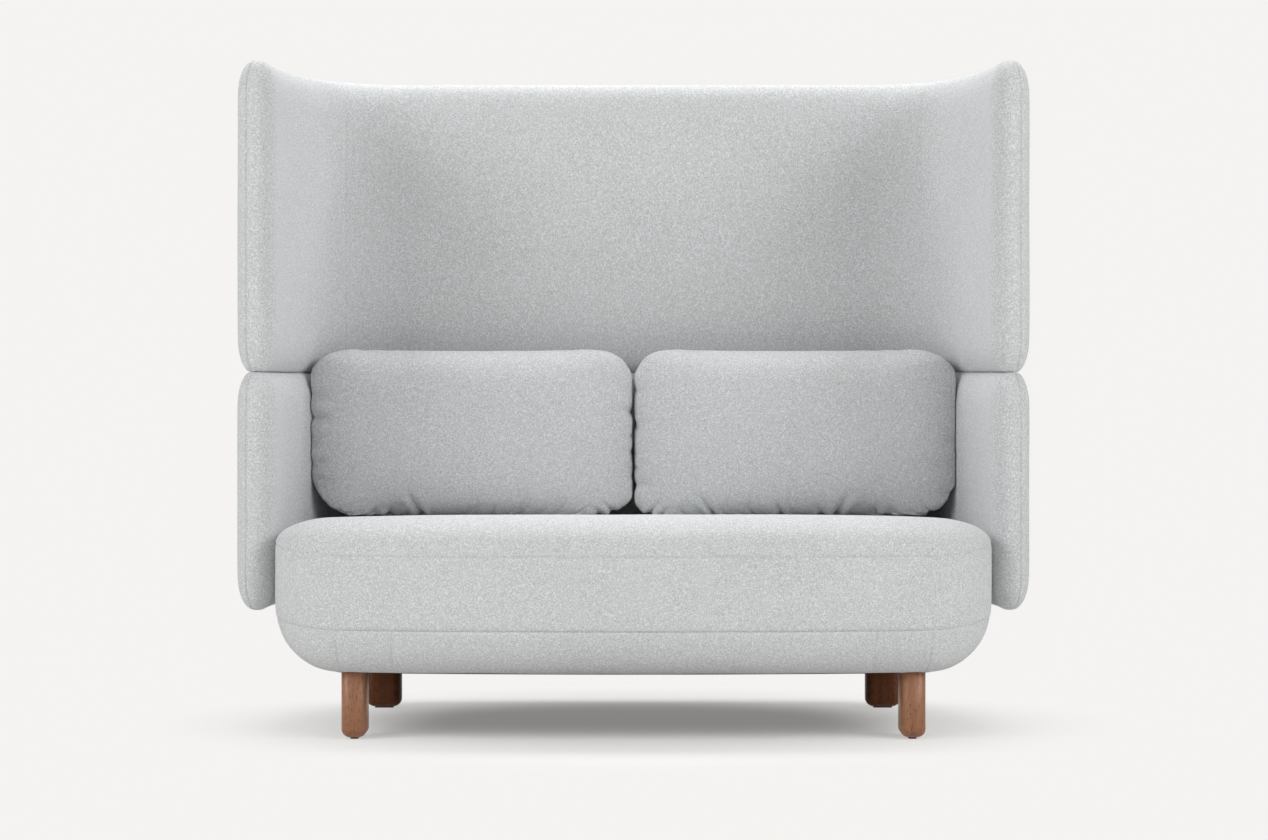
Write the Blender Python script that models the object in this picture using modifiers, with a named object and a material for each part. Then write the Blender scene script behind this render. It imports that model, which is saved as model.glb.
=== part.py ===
"""High-backed two-seat sofa, modelled as the separate pieces that it is built from.

Metres, +Z up.  The floor is Z = 0, the front faces -Y and +X is on the right seen from the front.
A U-shaped screen stands on a U-shaped arm shell of the same plan.  Both are bent plywood under
foam and two sewn covers.  A padded seat on four wooden legs fills the arm shell, and two loose
back cushions stand on it.
"""

import math

import bmesh
import bpy
from mathutils import Matrix, Vector

# Overall sizes
WIDTH = 1.600
DEPTH = 0.800
HEIGHT = 1.350

# Arm shell and screen
JOINT_Z = 0.720
SHELL_BOTTOM_Z = 0.240
PANEL_THICKNESS = 0.080
NOSE_SETBACK = 0.225
NOSE_LENGTH = 0.045
CORNER_RADIUS = 0.215
WING_TURN = math.radians(20.0)
RIM_HEIGHT = 0.080
RIM_POWER = 2.3
CREST_WIDTH = 0.020
JOINT_WIDTH = 0.036
LAP_WIDTH = 0.007
NOSE_SEAM = math.radians(27.0)
CORE_THICKNESS = 0.018
CORE_MARGIN = 0.024
CORNER_STEPS = 5
WING_STEPS = 3
RIM_STEPS = 3

# Seat
SEAT_HEIGHT = 0.436
SEAT_CREST_SETBACK = 0.200
SEAT_RAKE = math.radians(3.3)
SEAT_DOME = 0.006
SEAT_BOTTOM_Z = 0.130
SEAT_CLEARANCE = 0.006
FRONT_CORNER_RADIUS = 0.170
FRONT_BOW_RADIUS = 5.0
TOP_ROUND = 0.130
TOP_ROUND_Z = 0.375
BASE_CORNER_RADIUS = 0.005
BASE_ROUND_HEIGHT = 0.140
BASE_POWER = 2.4
FRONT_SHARE = 0.67
BASE_FRONT_SHARE = 0.45
REAR_SHARE = 0.35
UPPER_SEAM_Z = 0.3615
LOWER_SEAM_Z = 0.2175
UPPER_SEAM_RISE = 0.017
LOWER_SEAM_RISE = 0.016
TURN_IN = 0.030
FRONT_CORNER_STEPS = 5
FRONT_BOW_STEPS = 3

# Seat frame
RAIL_INSET = 0.022
RAIL_THICKNESS = 0.022
RAIL_BOTTOM_Z = 0.237
RAIL_TOP_Z = 0.315
BEARER_INSET = 0.137
BEARER_WIDTH = 0.083
MIDDLE_RAIL_WIDTH = 0.025
STRAP_WIDTH = 0.060
STRAP_THICKNESS = 0.0025
STRAP_MARGIN = 0.037
STRAP_PAIRS = 3
HOLLOW_FRONT_MARGIN = 0.025
HOLLOW_REAR_MARGIN = 0.035
DUST_COVER_THICKNESS = 0.0012

# Legs
LEG_NARROW = 0.050
LEG_WIDE = 0.075
LEG_EDGE_RADIUS = 0.018
LEG_FOOT_RADIUS = 0.0165
LEG_TOP_Z = 0.175
LEG_INSET = 0.004
FRONT_LEG_SETBACK = 0.125
REAR_LEG_SETBACK = 0.165
GLIDE_HEIGHT = 0.003
GLIDE_MARGIN = 0.0175

# Fixings
LEG_BOLT_RADIUS = 0.004
LEG_BOLT_LENGTH = 0.090
BAR_WIDTH = 0.040
BAR_THICKNESS = 0.006
BAR_LENGTH = 0.240
STANDOFF_RADIUS = 0.010
STANDOFF_STEM = 0.005
STANDOFF_HEAD_RADIUS = 0.009
STANDOFF_HEAD = 0.005
STANDOFF_Z = 0.291
BACK_FIXING_INSET = 0.1965

# Loose cushions
CUSHION_GAP = 0.004
CUSHION_SIDE_INSET = 0.040
CUSHION_RISE = 0.332
CUSHION_THICKNESS = 0.176
CUSHION_CORNER_POWER = 5.5
CUSHION_SIDE_PULL = 0.009
CUSHION_EDGE_PULL = 0.006
CUSHION_CURL = 0.105
CUSHION_CURL_START = 0.45
CUSHION_COLUMNS = 32
CUSHION_RINGS = 12
CUSHION_SWELL = 0.85
CUSHION_REACH = 0.72
PLACKET_ANGLE = math.radians(60.0)
PLACKET_CUT = 0.009
ZIP_LENGTH = 0.300
ZIP_WIDTH = 0.008
ZIP_TAPE = 0.0014
ZIP_COIL_WIDTH = 0.0034
ZIP_COIL = 0.0014
SLIDER_LENGTH = 0.012
SLIDER_WIDTH = 0.009
SLIDER_HEIGHT = 0.0045
PULL_LENGTH = 0.020
PULL_WIDTH = 0.005

# Cloth and fits
COVER = 0.002
GAP = 0.0003
SEAM_GAP = 0.0017
CUT_REACH = 0.020

# Sizes worked out from those above
HALF_PANEL = PANEL_THICKNESS / 2
BACK_Y = DEPTH / 2 - HALF_PANEL
FRONT_Y = -DEPTH / 2
NOSE_X = WIDTH / 2 - HALF_PANEL
NOSE_END_Y = FRONT_Y + NOSE_SETBACK + NOSE_LENGTH
CORNER_TURN = math.pi / 2 - WING_TURN
WING_RUN = BACK_Y - NOSE_END_Y - CORNER_RADIUS * (1 - math.sin(WING_TURN))
WING_RADIUS = WING_RUN / math.sin(WING_TURN)
BACK_HALF = NOSE_X - CORNER_RADIUS * math.cos(WING_TURN) - WING_RADIUS * (1 - math.cos(WING_TURN))
SEAT_HALF = NOSE_X - HALF_PANEL - SEAT_CLEARANCE
BASE_ROUND = FRONT_CORNER_RADIUS - BASE_CORNER_RADIUS
SEAT_CREST_Y = FRONT_Y + SEAT_CREST_SETBACK
BEARER_OUTER_X = SEAT_HALF - BEARER_INSET
LEG_OUTER_X = BEARER_OUTER_X - LEG_INSET
FRONT_LEG_Y = FRONT_Y + FRONT_LEG_SETBACK
REAR_LEG_Y = DEPTH / 2 - REAR_LEG_SETBACK
HOLLOW_FRONT_Y = FRONT_LEG_Y + HOLLOW_FRONT_MARGIN
HOLLOW_REAR_Y = REAR_LEG_Y - HOLLOW_REAR_MARGIN
STRAP_PITCH = (BEARER_OUTER_X - STRAP_MARGIN) / STRAP_PAIRS
BACK_FIXING_X = BACK_HALF - BACK_FIXING_INSET
CUSHION_OUTER_X = NOSE_X - HALF_PANEL - CUSHION_SIDE_INSET
CUSHION_TOP_Z = SEAT_HEIGHT + CUSHION_RISE
FOAM_DEPTH = COVER + GAP
STRAP_TOP_Z = RAIL_TOP_Z + GAP + STRAP_THICKNESS

FINISHES = {
    "fabric": ((0.56, 0.58, 0.58), 0.95, 0.0),
    "foam": ((0.80, 0.74, 0.52), 0.95, 0.0),
    "plywood": ((0.62, 0.46, 0.29), 0.60, 0.0),
    "leg_wood": ((0.28, 0.14, 0.08), 0.45, 0.0),
    "frame_wood": ((0.60, 0.43, 0.26), 0.65, 0.0),
    "steel": ((0.55, 0.55, 0.56), 0.35, 1.0),
    "webbing": ((0.05, 0.05, 0.05), 0.80, 0.0),
    "dust_cloth": ((0.03, 0.03, 0.03), 0.95, 0.0),
    "felt": ((0.12, 0.10, 0.09), 0.95, 0.0),
    "zip_tape": ((0.45, 0.46, 0.46), 0.70, 0.0),
}


def finish(name):
    """The material of that name, made on first use."""
    material = bpy.data.materials.get(name)
    if material is None:
        colour, roughness, metallic = FINISHES[name]
        material = bpy.data.materials.new(name)
        material.use_nodes = True
        shader = material.node_tree.nodes["Principled BSDF"]
        shader.inputs["Base Color"].default_value = (*colour, 1.0)
        shader.inputs["Roughness"].default_value = roughness
        shader.inputs["Metallic"].default_value = metallic
    return material


def add_object(name, mesh, collection, finish_name=None):
    """Link a mesh to the scene as a named object."""
    thing = bpy.data.objects.new(name, mesh)
    bpy.data.collections[collection].objects.link(thing)
    if finish_name:
        mesh.materials.append(finish(finish_name))
    return thing


def from_bmesh(name, bm, collection, finish_name=None):
    """Turn a bmesh into an object with its faces pointing out."""
    bmesh.ops.recalc_face_normals(bm, faces=bm.faces)
    mesh = bpy.data.meshes.new(name)
    bm.to_mesh(mesh)
    bm.free()
    return add_object(name, mesh, collection, finish_name)


def piece(name, bm, finish_name):
    """A sub-part of the sofa."""
    return from_bmesh(name, bm, "sofa", finish_name)


def cutter(name, bm):
    """A closed shape that only cuts other pieces."""
    thing = from_bmesh(name, bm, "cutters")
    thing.hide_render = True
    thing.display_type = "WIRE"
    return thing


def boolean(target, tools, operation="DIFFERENCE"):
    """Cut a piece by each tool, or keep what lies inside it."""
    for tool in tools:
        modifier = target.modifiers.new(tool.name, "BOOLEAN")
        modifier.operation = operation
        modifier.object = tool


def solidify(target):
    """Give a sewn cover its thickness, inwards from its outer face."""
    modifier = target.modifiers.new("cloth", "SOLIDIFY")
    modifier.thickness = COVER
    modifier.offset = -1.0
    modifier.use_even_offset = True


def shrink(bm, distance):
    """Move a closed form's faces inwards by one distance."""
    bmesh.ops.recalc_face_normals(bm, faces=bm.faces)
    bm.normal_update()
    moves = [(vert, vert.normal * distance * vert.calc_shell_factor()) for vert in bm.verts]
    for vert, move in moves:
        vert.co -= move


def box(low, high):
    """A bmesh box between two corners."""
    bm = bmesh.new()
    low, high = Vector(low), Vector(high)
    bmesh.ops.create_cube(bm, size=1.0)
    bmesh.ops.scale(bm, vec=high - low, verts=bm.verts)
    bmesh.ops.translate(bm, vec=(low + high) / 2, verts=bm.verts)
    return bm


def rod(radius, start, end, segments=12):
    """A bmesh cylinder from one point to another."""
    bm = bmesh.new()
    start, end = Vector(start), Vector(end)
    axis = end - start
    turn = Vector((0, 0, 1)).rotation_difference(axis).to_matrix().to_4x4()
    place = Matrix.Translation((start + end) / 2) @ turn
    bmesh.ops.create_cone(
        bm, cap_ends=True, segments=segments, radius1=radius, radius2=radius, depth=axis.length, matrix=place
    )
    return bm


def add_ring(bm, points):
    """New vertices at these points."""
    return [bm.verts.new(point) for point in points]


def skin(bm, rings, closed):
    """Faces between rings of equally many vertices, cut across the shorter way so that layers agree."""
    faces = []
    for lower, upper in zip(rings, rings[1:]):
        count = len(lower)
        for i in range(count if closed else count - 1):
            j = (i + 1) % count
            faces.append(bm.faces.new((lower[i], lower[j], upper[j], upper[i])))
    bmesh.ops.triangulate(bm, faces=faces, quad_method="SHORT_EDGE")


def mirrored(stations):
    """The left-hand twins of stations on the right, in reverse order."""
    flip = Vector((-1, 1))
    return [(point * flip, normal * flip) for point, normal in reversed(stations)]


def wall_stations():
    """Centre line of the wall's right half, from the back to the nose: points and outward normals."""
    corner = Vector((BACK_HALF, BACK_Y - CORNER_RADIUS))
    wing = Vector((NOSE_X - WING_RADIUS, NOSE_END_Y))
    stations = []
    for i in range(CORNER_STEPS + 1):
        angle = CORNER_TURN * i / CORNER_STEPS
        normal = Vector((math.sin(angle), math.cos(angle)))
        stations.append((corner + normal * CORNER_RADIUS, normal))
    for i in range(1, WING_STEPS + 1):
        angle = CORNER_TURN + WING_TURN * i / WING_STEPS
        normal = Vector((math.sin(angle), math.cos(angle)))
        stations.append((wing + normal * WING_RADIUS, normal))
    return stations


def side_row(half, side, z):
    """Points along one face of the wall, left to right, at a distance from its centre line."""
    right = wall_stations()
    stations = mirrored(right) + right
    return [(point + normal * half * side).to_3d() + Vector((0, 0, z)) for point, normal in stations]


def nose_row(half, angles, z, flip):
    """Points round one nose of the wall: angle +90 degrees is the outer face, -90 the inner one."""
    length = NOSE_LENGTH * half / HALF_PANEL
    points = []
    for angle in angles:
        x = NOSE_X + half * math.sin(angle)
        y = NOSE_END_Y - length * math.cos(angle)
        points.append(Vector((x * flip, y, z)))
    return points


def nose_angles(start, end, steps):
    """Evenly spaced angles round the nose, both ends included."""
    return [start + (end - start) * i / steps for i in range(steps + 1)]


def rim_levels(flat):
    """Rounded edge of the wall as (rise, half thickness), from its flat to the full thickness."""
    power = 2 / RIM_POWER
    first = math.asin((flat / HALF_PANEL) ** (1 / power))
    start = 1 - math.cos(first) ** power
    levels = []
    for i in range(RIM_STEPS + 1):
        angle = first + (math.pi / 2 - first) * i / RIM_STEPS
        rise = 1 - max(math.cos(angle), 0.0) ** power
        levels.append((RIM_HEIGHT * (rise - start), HALF_PANEL * math.sin(angle) ** power))
    return levels


def wall_levels(crest_z):
    """Heights and half thicknesses of the screen or the arm shell, from the joint to the crest."""
    up = 1 if crest_z > JOINT_Z else -1
    foot_z = JOINT_Z + up * GAP / 2
    levels = [(foot_z + up * rise, half) for rise, half in rim_levels(JOINT_WIDTH / 2)]
    levels += [(crest_z - up * rise, half) for rise, half in reversed(rim_levels(CREST_WIDTH / 2))]
    return levels


def cap_band(bm, outer, inner, left_nose, right_nose):
    """Close the wall's top or foot: strips between its two faces, and one face at each nose."""
    for i in range(len(outer) - 1):
        bm.faces.new((outer[i], outer[i + 1], inner[i + 1], inner[i]))
    if right_nose:
        bm.faces.new([outer[-1]] + right_nose + [inner[-1]])
        bm.faces.new([inner[0]] + left_nose[::-1] + [outer[0]])


def wall_form(crest_z):
    """The whole upholstered wall as one closed form."""
    bm = bmesh.new()
    angles = nose_angles(math.pi / 2, NOSE_SEAM, 2)[1:] + nose_angles(NOSE_SEAM, -math.pi / 2, 3)[1:-1]
    rings = []
    for z, half in wall_levels(crest_z):
        outer = add_ring(bm, side_row(half, 1, z))
        right = add_ring(bm, nose_row(half, angles, z, 1))
        inner = add_ring(bm, side_row(half, -1, z))
        left = add_ring(bm, nose_row(half, angles, z, -1))
        rings.append(outer + right + inner[::-1] + left[::-1])
        if len(rings) == 1:
            cap_band(bm, outer, inner, left, right)
    skin(bm, rings, True)
    cap_band(bm, outer, inner, left, right)
    return bm


def outer_cover(name, crest_z):
    """The sheet sewn round the outside of the wall, from nose seam to nose seam."""
    bm = bmesh.new()
    levels = wall_levels(crest_z)
    lap = (levels[0][0], JOINT_WIDTH / 2 - LAP_WIDTH)
    rings = []
    for z, half in [lap] + levels:
        angles = nose_angles(math.pi / 2, NOSE_SEAM + SEAM_GAP / 2 / half, 2)[1:]
        left = nose_row(half, angles, z, -1)
        row = left[::-1] + side_row(half, 1, z) + nose_row(half, angles, z, 1)
        rings.append(add_ring(bm, row))
    skin(bm, rings, False)
    cover = piece(name, bm, "fabric")
    solidify(cover)
    return cover


def inner_cover(name, crest_z):
    """The sheet on the inside of the wall, which also wraps the noses and the crest."""
    bm = bmesh.new()
    levels = wall_levels(crest_z)
    lap = (levels[0][0], JOINT_WIDTH / 2 - LAP_WIDTH)
    rings = []
    for z, half in [lap] + levels:
        edge = NOSE_SEAM - SEAM_GAP / 2 / half
        angles = nose_angles(edge, -math.pi / 2, 3)[:-1]
        left = add_ring(bm, nose_row(half, angles, z, -1))
        inner = add_ring(bm, side_row(half, -1, z))
        right = add_ring(bm, nose_row(half, angles, z, 1))
        rings.append(left + inner + right[::-1])
    skin(bm, rings, False)
    z, half = levels[-1]
    half -= SEAM_GAP + COVER / 2
    outer_angles = nose_angles(math.pi / 2, edge, 2)[1:]
    outer = add_ring(bm, side_row(half, 1, z))
    outer_left = add_ring(bm, nose_row(half, outer_angles, z, -1))
    outer_right = add_ring(bm, nose_row(half, outer_angles, z, 1))
    cap_band(bm, outer, inner, outer_left + left, outer_right + right)
    cover = piece(name, bm, "fabric")
    solidify(cover)
    return cover


def core_form(crest_z, grow):
    """Bent plywood in the middle of the wall, or its pocket when it is grown by a clearance."""
    bm = bmesh.new()
    up = 1 if crest_z > JOINT_Z else -1
    foot_z = JOINT_Z + up * GAP / 2 - (up * CUT_REACH if grow else 0)
    head_z = crest_z - up * (CORE_MARGIN - grow)
    half = CORE_THICKNESS / 2 + grow
    reach = Vector((0, -grow, 0))
    rings = []
    for z in (foot_z, head_z):
        outer = side_row(half, 1, z)
        inner = side_row(half, -1, z)
        for row in (outer, inner):
            row[0] = row[0] + reach
            row[-1] = row[-1] + reach
        outer = add_ring(bm, outer)
        inner = add_ring(bm, inner)
        rings.append(outer + inner[::-1])
        cap_band(bm, outer, inner, [], [])
    skin(bm, rings, True)
    return bm


def facet(stations, index):
    """Middle point and outward normal of one flat facet of the wall."""
    (start, first), (end, second) = stations[index], stations[index + 1]
    return (start + end) / 2, (first + second).normalized()


def fixing_places():
    """Where the wall is fixed: a point on its centre line and the outward normal, by name."""
    wing_point, wing_normal = facet(wall_stations(), CORNER_STEPS + WING_STEPS - 2)
    back = Vector((0, 1))
    flip = Vector((-1, 1))
    return {
        "back_left": (Vector((-BACK_FIXING_X, BACK_Y)), back),
        "back_right": (Vector((BACK_FIXING_X, BACK_Y)), back),
        "wing_left": (wing_point * flip, wing_normal * flip),
        "wing_right": (wing_point, wing_normal),
    }


def bar_form(point, normal, grow):
    """Flat steel bar let into the edges of both plywood walls across their joint."""
    bm = bmesh.new()
    size = Vector((BAR_WIDTH, BAR_THICKNESS, BAR_LENGTH)) + Vector((2, 2, 2)) * grow
    angle = math.atan2(normal.x, normal.y)
    place = Matrix.Translation(point.to_3d() + Vector((0, 0, JOINT_Z))) @ Matrix.Rotation(-angle, 4, "Z")
    bmesh.ops.create_cube(bm, size=1.0)
    bmesh.ops.scale(bm, vec=size, verts=bm.verts)
    bmesh.ops.transform(bm, matrix=place, verts=bm.verts)
    return bm


def standoff_spans():
    """Distances from the wall's centre line to the faces that a stand-off bolt meets."""
    core_face = -CORE_THICKNESS / 2
    rail_face = -(HALF_PANEL + SEAT_CLEARANCE + RAIL_INSET)
    return core_face, rail_face, rail_face - RAIL_THICKNESS


def standoff(name, point, normal):
    """Turned stand-off bolt: a stem in the plywood, a shoulder between, and a head inside the rail."""
    core_face, rail_face, rail_back = standoff_spans()
    tip = -core_face - GAP
    head = rail_back - GAP - STANDOFF_HEAD
    profile = [
        (0.0, tip),
        (STANDOFF_STEM, tip),
        (STANDOFF_STEM, core_face - GAP),
        (STANDOFF_RADIUS, core_face - GAP),
        (STANDOFF_RADIUS, rail_face + GAP),
        (STANDOFF_STEM, rail_face + GAP),
        (STANDOFF_STEM, rail_back - GAP),
        (STANDOFF_HEAD_RADIUS, rail_back - GAP),
        (STANDOFF_HEAD_RADIUS, head),
        (0.0, head),
    ]
    bm = bmesh.new()
    verts = [bm.verts.new((radius, 0, along)) for radius, along in profile]
    for first, second in zip(verts, verts[1:]):
        bm.edges.new((first, second))
    mesh = bpy.data.meshes.new(name)
    bm.to_mesh(mesh)
    bm.free()
    bolt = add_object(name, mesh, "sofa", "steel")
    bolt.location = point.to_3d() + Vector((0, 0, STANDOFF_Z))
    bolt.rotation_euler = Vector((0, 0, 1)).rotation_difference(normal.to_3d()).to_euler()
    screw = bolt.modifiers.new("turn", "SCREW")
    screw.steps = 12
    screw.render_steps = 12
    screw.use_merge_vertices = True
    screw.merge_threshold = 0.00001
    return bolt


def standoff_hole(name, point, normal, radius):
    """Round hole along a stand-off bolt, from behind the rail to beyond the plywood."""
    start, end = -(HALF_PANEL + SEAT_CLEARANCE + RAIL_INSET + RAIL_THICKNESS / 2), 0.0
    if radius < STANDOFF_RADIUS:
        start -= RAIL_THICKNESS
        end = CORE_THICKNESS
    middle = point.to_3d() + Vector((0, 0, STANDOFF_Z))
    outward = normal.to_3d()
    return cutter(name, rod(radius, middle + outward * start, middle + outward * end))


def build_wall():
    """Arm shell and screen: plywood, foam and covers, with the bars that join them."""
    bars, stems, shoulders = [], [], []
    for place, (point, normal) in fixing_places().items():
        piece("joining_bar_" + place, bar_form(point, normal, 0.0), "steel")
        bars.append(cutter("bar_slot_" + place, bar_form(point, normal, GAP)))
        standoff("shell_bolt_" + place, point, normal)
        stems.append(standoff_hole("stem_hole_" + place, point, normal, STANDOFF_STEM + GAP))
        shoulders.append(standoff_hole("shoulder_hole_" + place, point, normal, STANDOFF_RADIUS + GAP))
    for name, crest_z in (("arm_shell", SHELL_BOTTOM_Z), ("screen", HEIGHT)):
        core = piece(name + "_plywood", core_form(crest_z, 0.0), "plywood")
        boolean(core, bars)
        foam = wall_form(crest_z)
        shrink(foam, FOAM_DEPTH)
        padding = piece(name + "_foam", foam, "foam")
        boolean(padding, [cutter(name + "_pocket", core_form(crest_z, GAP))])
        outer_cover(name + "_outer_cover", crest_z)
        lining = inner_cover(name + "_inner_cover", crest_z)
        if name == "arm_shell":
            boolean(core, stems)
            boolean(padding, shoulders)
            boolean(lining, shoulders)
    return stems, shoulders


def seat_stations():
    """Plan of the seat's right half, from the back round to the front: points and outward normals."""
    inset = HALF_PANEL + SEAT_CLEARANCE
    stations = [(point - normal * inset, normal) for point, normal in wall_stations()]
    run = FRONT_BOW_RADIUS - FRONT_CORNER_RADIUS
    bow = math.asin((SEAT_HALF - FRONT_CORNER_RADIUS) / run)
    front_facet = bow / (2 * FRONT_BOW_STEPS - 1)
    bow_centre = Vector((0, FRONT_Y + FRONT_BOW_RADIUS * math.cos(front_facet)))
    corner = bow_centre + Vector((math.sin(bow), -math.cos(bow))) * run
    for i in range(FRONT_CORNER_STEPS + 1):
        angle = math.pi / 2 + (math.pi / 2 - bow) * i / FRONT_CORNER_STEPS
        normal = Vector((math.sin(angle), math.cos(angle)))
        stations.append((corner + normal * FRONT_CORNER_RADIUS, normal))
    for i in range(1, FRONT_BOW_STEPS):
        angle = math.pi - bow + 2 * i * front_facet
        normal = Vector((math.sin(angle), math.cos(angle)))
        stations.append((bow_centre + normal * FRONT_BOW_RADIUS, normal))
    return stations


def seat_outline():
    """The whole plan of the seat, round from the right back corner."""
    right = seat_stations()
    return right + mirrored(right)


def round_share(normal, front):
    """How much of the side's rounding the seat has in this direction, given the front's share."""
    share = REAR_SHARE if normal.y > 0 else front
    return 1 - (1 - share) * abs(normal.y)


def base_share(normal):
    """Depth of the rounding under the seat in this direction."""
    return BASE_ROUND * round_share(normal, BASE_FRONT_SHARE)


def crown_z(y):
    """Height of the seat's top, which falls to the back."""
    return SEAT_HEIGHT - math.tan(SEAT_RAKE) * (y - SEAT_CREST_Y)


def top_ring(angle):
    """Ring of points on the seat's rounded upper edge: 0 is its side, a right angle its top."""
    ring = []
    for point, normal in seat_outline():
        inset = TOP_ROUND * round_share(normal, FRONT_SHARE) * (1 - math.cos(angle))
        place = point - normal * inset
        dome = SEAT_DOME * (1 - max(normal.y, 0.0))
        rise = crown_z(place.y) - dome - TOP_ROUND_Z
        ring.append(place.to_3d() + Vector((0, 0, TOP_ROUND_Z + rise * math.sin(angle))))
    return ring


def dome_ring(share):
    """Ring on the seat's crowned top, drawn in towards its middle."""
    ring = top_ring(math.pi / 2)
    middle = sum(ring, Vector()) / len(ring)
    points = [middle + (point - middle) * share for point in ring]
    return [Vector((point.x, point.y, crown_z(point.y))) for point in points]


def base_ring(angle):
    """Ring on the seat's rounded lower edge: 0 is its side, a right angle its underside."""
    ring = []
    for point, normal in seat_outline():
        inset = base_share(normal) * (1 - max(math.cos(angle), 0.0) ** (2 / BASE_POWER))
        z = SEAT_BOTTOM_Z + BASE_ROUND_HEIGHT * (1 - math.sin(angle) ** (2 / BASE_POWER))
        ring.append((point - normal * inset).to_3d() + Vector((0, 0, z)))
    return ring


def seam_height(normal, front_z, rise):
    """Height of a seam, which climbs from the middle of the front to the sides."""
    return front_z + rise * (1 - max(-normal.y, 0.0) ** 2)


def seam_ring(front_z, rise, shift):
    """Ring along a seam round the seat, moved up or down by half the seam's width."""
    ring = []
    for point, normal in seat_outline():
        z = seam_height(normal, front_z, rise) + shift
        drop = SEAT_BOTTOM_Z + BASE_ROUND_HEIGHT - z
        share = max(drop, 0.0) / BASE_ROUND_HEIGHT
        inset = base_share(normal) * (1 - (1 - share**BASE_POWER) ** (1 / BASE_POWER))
        ring.append((point - normal * inset).to_3d() + Vector((0, 0, z)))
    return ring


def inset_ring(inset, z):
    """Plan of the seat drawn in by one distance, at one height."""
    return [(point - normal * inset).to_3d() + Vector((0, 0, z)) for point, normal in seat_outline()]


def prism(inset, low_z, high_z):
    """Upright closed form on the seat's plan, drawn in by one distance."""
    bm = bmesh.new()
    rings = [add_ring(bm, inset_ring(inset, z)) for z in (low_z, high_z)]
    skin(bm, rings, True)
    for ring in rings:
        bm.faces.new(ring)
    return bm


TOP_ANGLES = [math.radians(degrees) for degrees in (25, 55, 90)]
BASE_ANGLES = [math.radians(degrees) for degrees in (45, 68, 90)]


def top_surface(bm, first):
    """Rings from the upper seam to the middle of the seat's top, closed there."""
    rings = [first] + [add_ring(bm, top_ring(angle)) for angle in TOP_ANGLES]
    rings.append(add_ring(bm, dome_ring(0.55)))
    skin(bm, rings, True)
    bm.faces.new(rings[-1])


def seat_top_cover():
    """Seat top, sewn to the border at the upper seam."""
    bm = bmesh.new()
    top_surface(bm, add_ring(bm, seam_ring(UPPER_SEAM_Z, UPPER_SEAM_RISE, SEAM_GAP / 2)))
    solidify(piece("seat_top_cover", bm, "fabric"))


def border_rings(bm, shift):
    """Rings of the upright border, from the lower seam to the upper one."""
    wall_z = SEAT_BOTTOM_Z + BASE_ROUND_HEIGHT
    return [
        add_ring(bm, seam_ring(LOWER_SEAM_Z, LOWER_SEAM_RISE, shift)),
        add_ring(bm, inset_ring(0.0, wall_z)),
        add_ring(bm, seam_ring(UPPER_SEAM_Z, UPPER_SEAM_RISE, -shift)),
    ]


def seat_border_cover(shoulders):
    """Band round the seat between its two seams."""
    bm = bmesh.new()
    skin(bm, border_rings(bm, SEAM_GAP / 2), True)
    cover = piece("seat_border_cover", bm, "fabric")
    solidify(cover)
    boolean(cover, shoulders)


def turn_in_ring():
    """Edge of the under cover where it is turned in below the frame."""
    ring = base_ring(math.pi / 2)
    middle = sum(ring, Vector()) / len(ring)
    share = 1 - TURN_IN / (SEAT_HALF - BASE_ROUND)
    return [middle + (point - middle) * share for point in ring]


def seat_under_cover(leg_holes):
    """Lower panel of the seat, from the lower seam to where it is turned in underneath."""
    bm = bmesh.new()
    rings = [add_ring(bm, seam_ring(LOWER_SEAM_Z, LOWER_SEAM_RISE, -SEAM_GAP / 2))]
    rings += [add_ring(bm, base_ring(angle)) for angle in BASE_ANGLES]
    rings.append(add_ring(bm, turn_in_ring()))
    skin(bm, rings, True)
    cover = piece("seat_under_cover", bm, "fabric")
    solidify(cover)
    boolean(cover, leg_holes)


def dust_cover(leg_holes):
    """Thin black cloth that closes the underside."""
    bm = bmesh.new()
    top_z = SEAT_BOTTOM_Z - GAP
    rings = []
    for z in (top_z - DUST_COVER_THICKNESS, top_z):
        ring = [Vector((point.x, point.y, z)) for point in base_ring(math.pi / 2)]
        rings.append(add_ring(bm, ring))
    skin(bm, rings, True)
    for ring in rings:
        bm.faces.new(ring)
    boolean(piece("dust_cover", bm, "dust_cloth"), leg_holes)


def bearer_box(side, grow):
    """Beam from front to back that carries two legs; its ends are cut to the rail."""
    inner, outer = BEARER_OUTER_X - BEARER_WIDTH - grow, BEARER_OUTER_X + grow
    low_x, high_x = sorted((side * inner, side * outer))
    low_z = LEG_TOP_Z + GAP - grow
    return box((low_x, FRONT_Y, low_z), (high_x, BACK_Y, RAIL_TOP_Z - GAP + grow))


def seat_foam(leg_holes, shoulders):
    """Moulded foam over the frame, open underneath where the frame goes in."""
    bm = bmesh.new()
    rings = border_rings(bm, 0.0)
    lower = [add_ring(bm, base_ring(angle)) for angle in reversed(BASE_ANGLES)]
    skin(bm, lower + rings, True)
    bm.faces.new(lower[0])
    top_surface(bm, rings[-1])
    shrink(bm, FOAM_DEPTH)
    foam = piece("seat_foam", bm, "foam")
    frame_room = prism(RAIL_INSET - GAP, RAIL_BOTTOM_Z - GAP, STRAP_TOP_Z + GAP)
    tools = [cutter("frame_room", frame_room)]
    reach = BEARER_OUTER_X - BEARER_WIDTH / 2
    low = (-reach, HOLLOW_FRONT_Y, 0.0)
    high = (reach, HOLLOW_REAR_Y, RAIL_BOTTOM_Z + CUT_REACH)
    tools.append(cutter("seat_hollow", box(low, high)))
    ends = cutter("bearer_ends", prism(RAIL_INSET + RAIL_THICKNESS, 0.0, RAIL_TOP_Z + CUT_REACH))
    for side, name in ((-1, "left"), (1, "right")):
        room = cutter("bearer_room_" + name, bearer_box(side, GAP))
        boolean(room, [ends], "INTERSECT")
        tools.append(room)
    boolean(foam, tools + leg_holes + shoulders)


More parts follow.
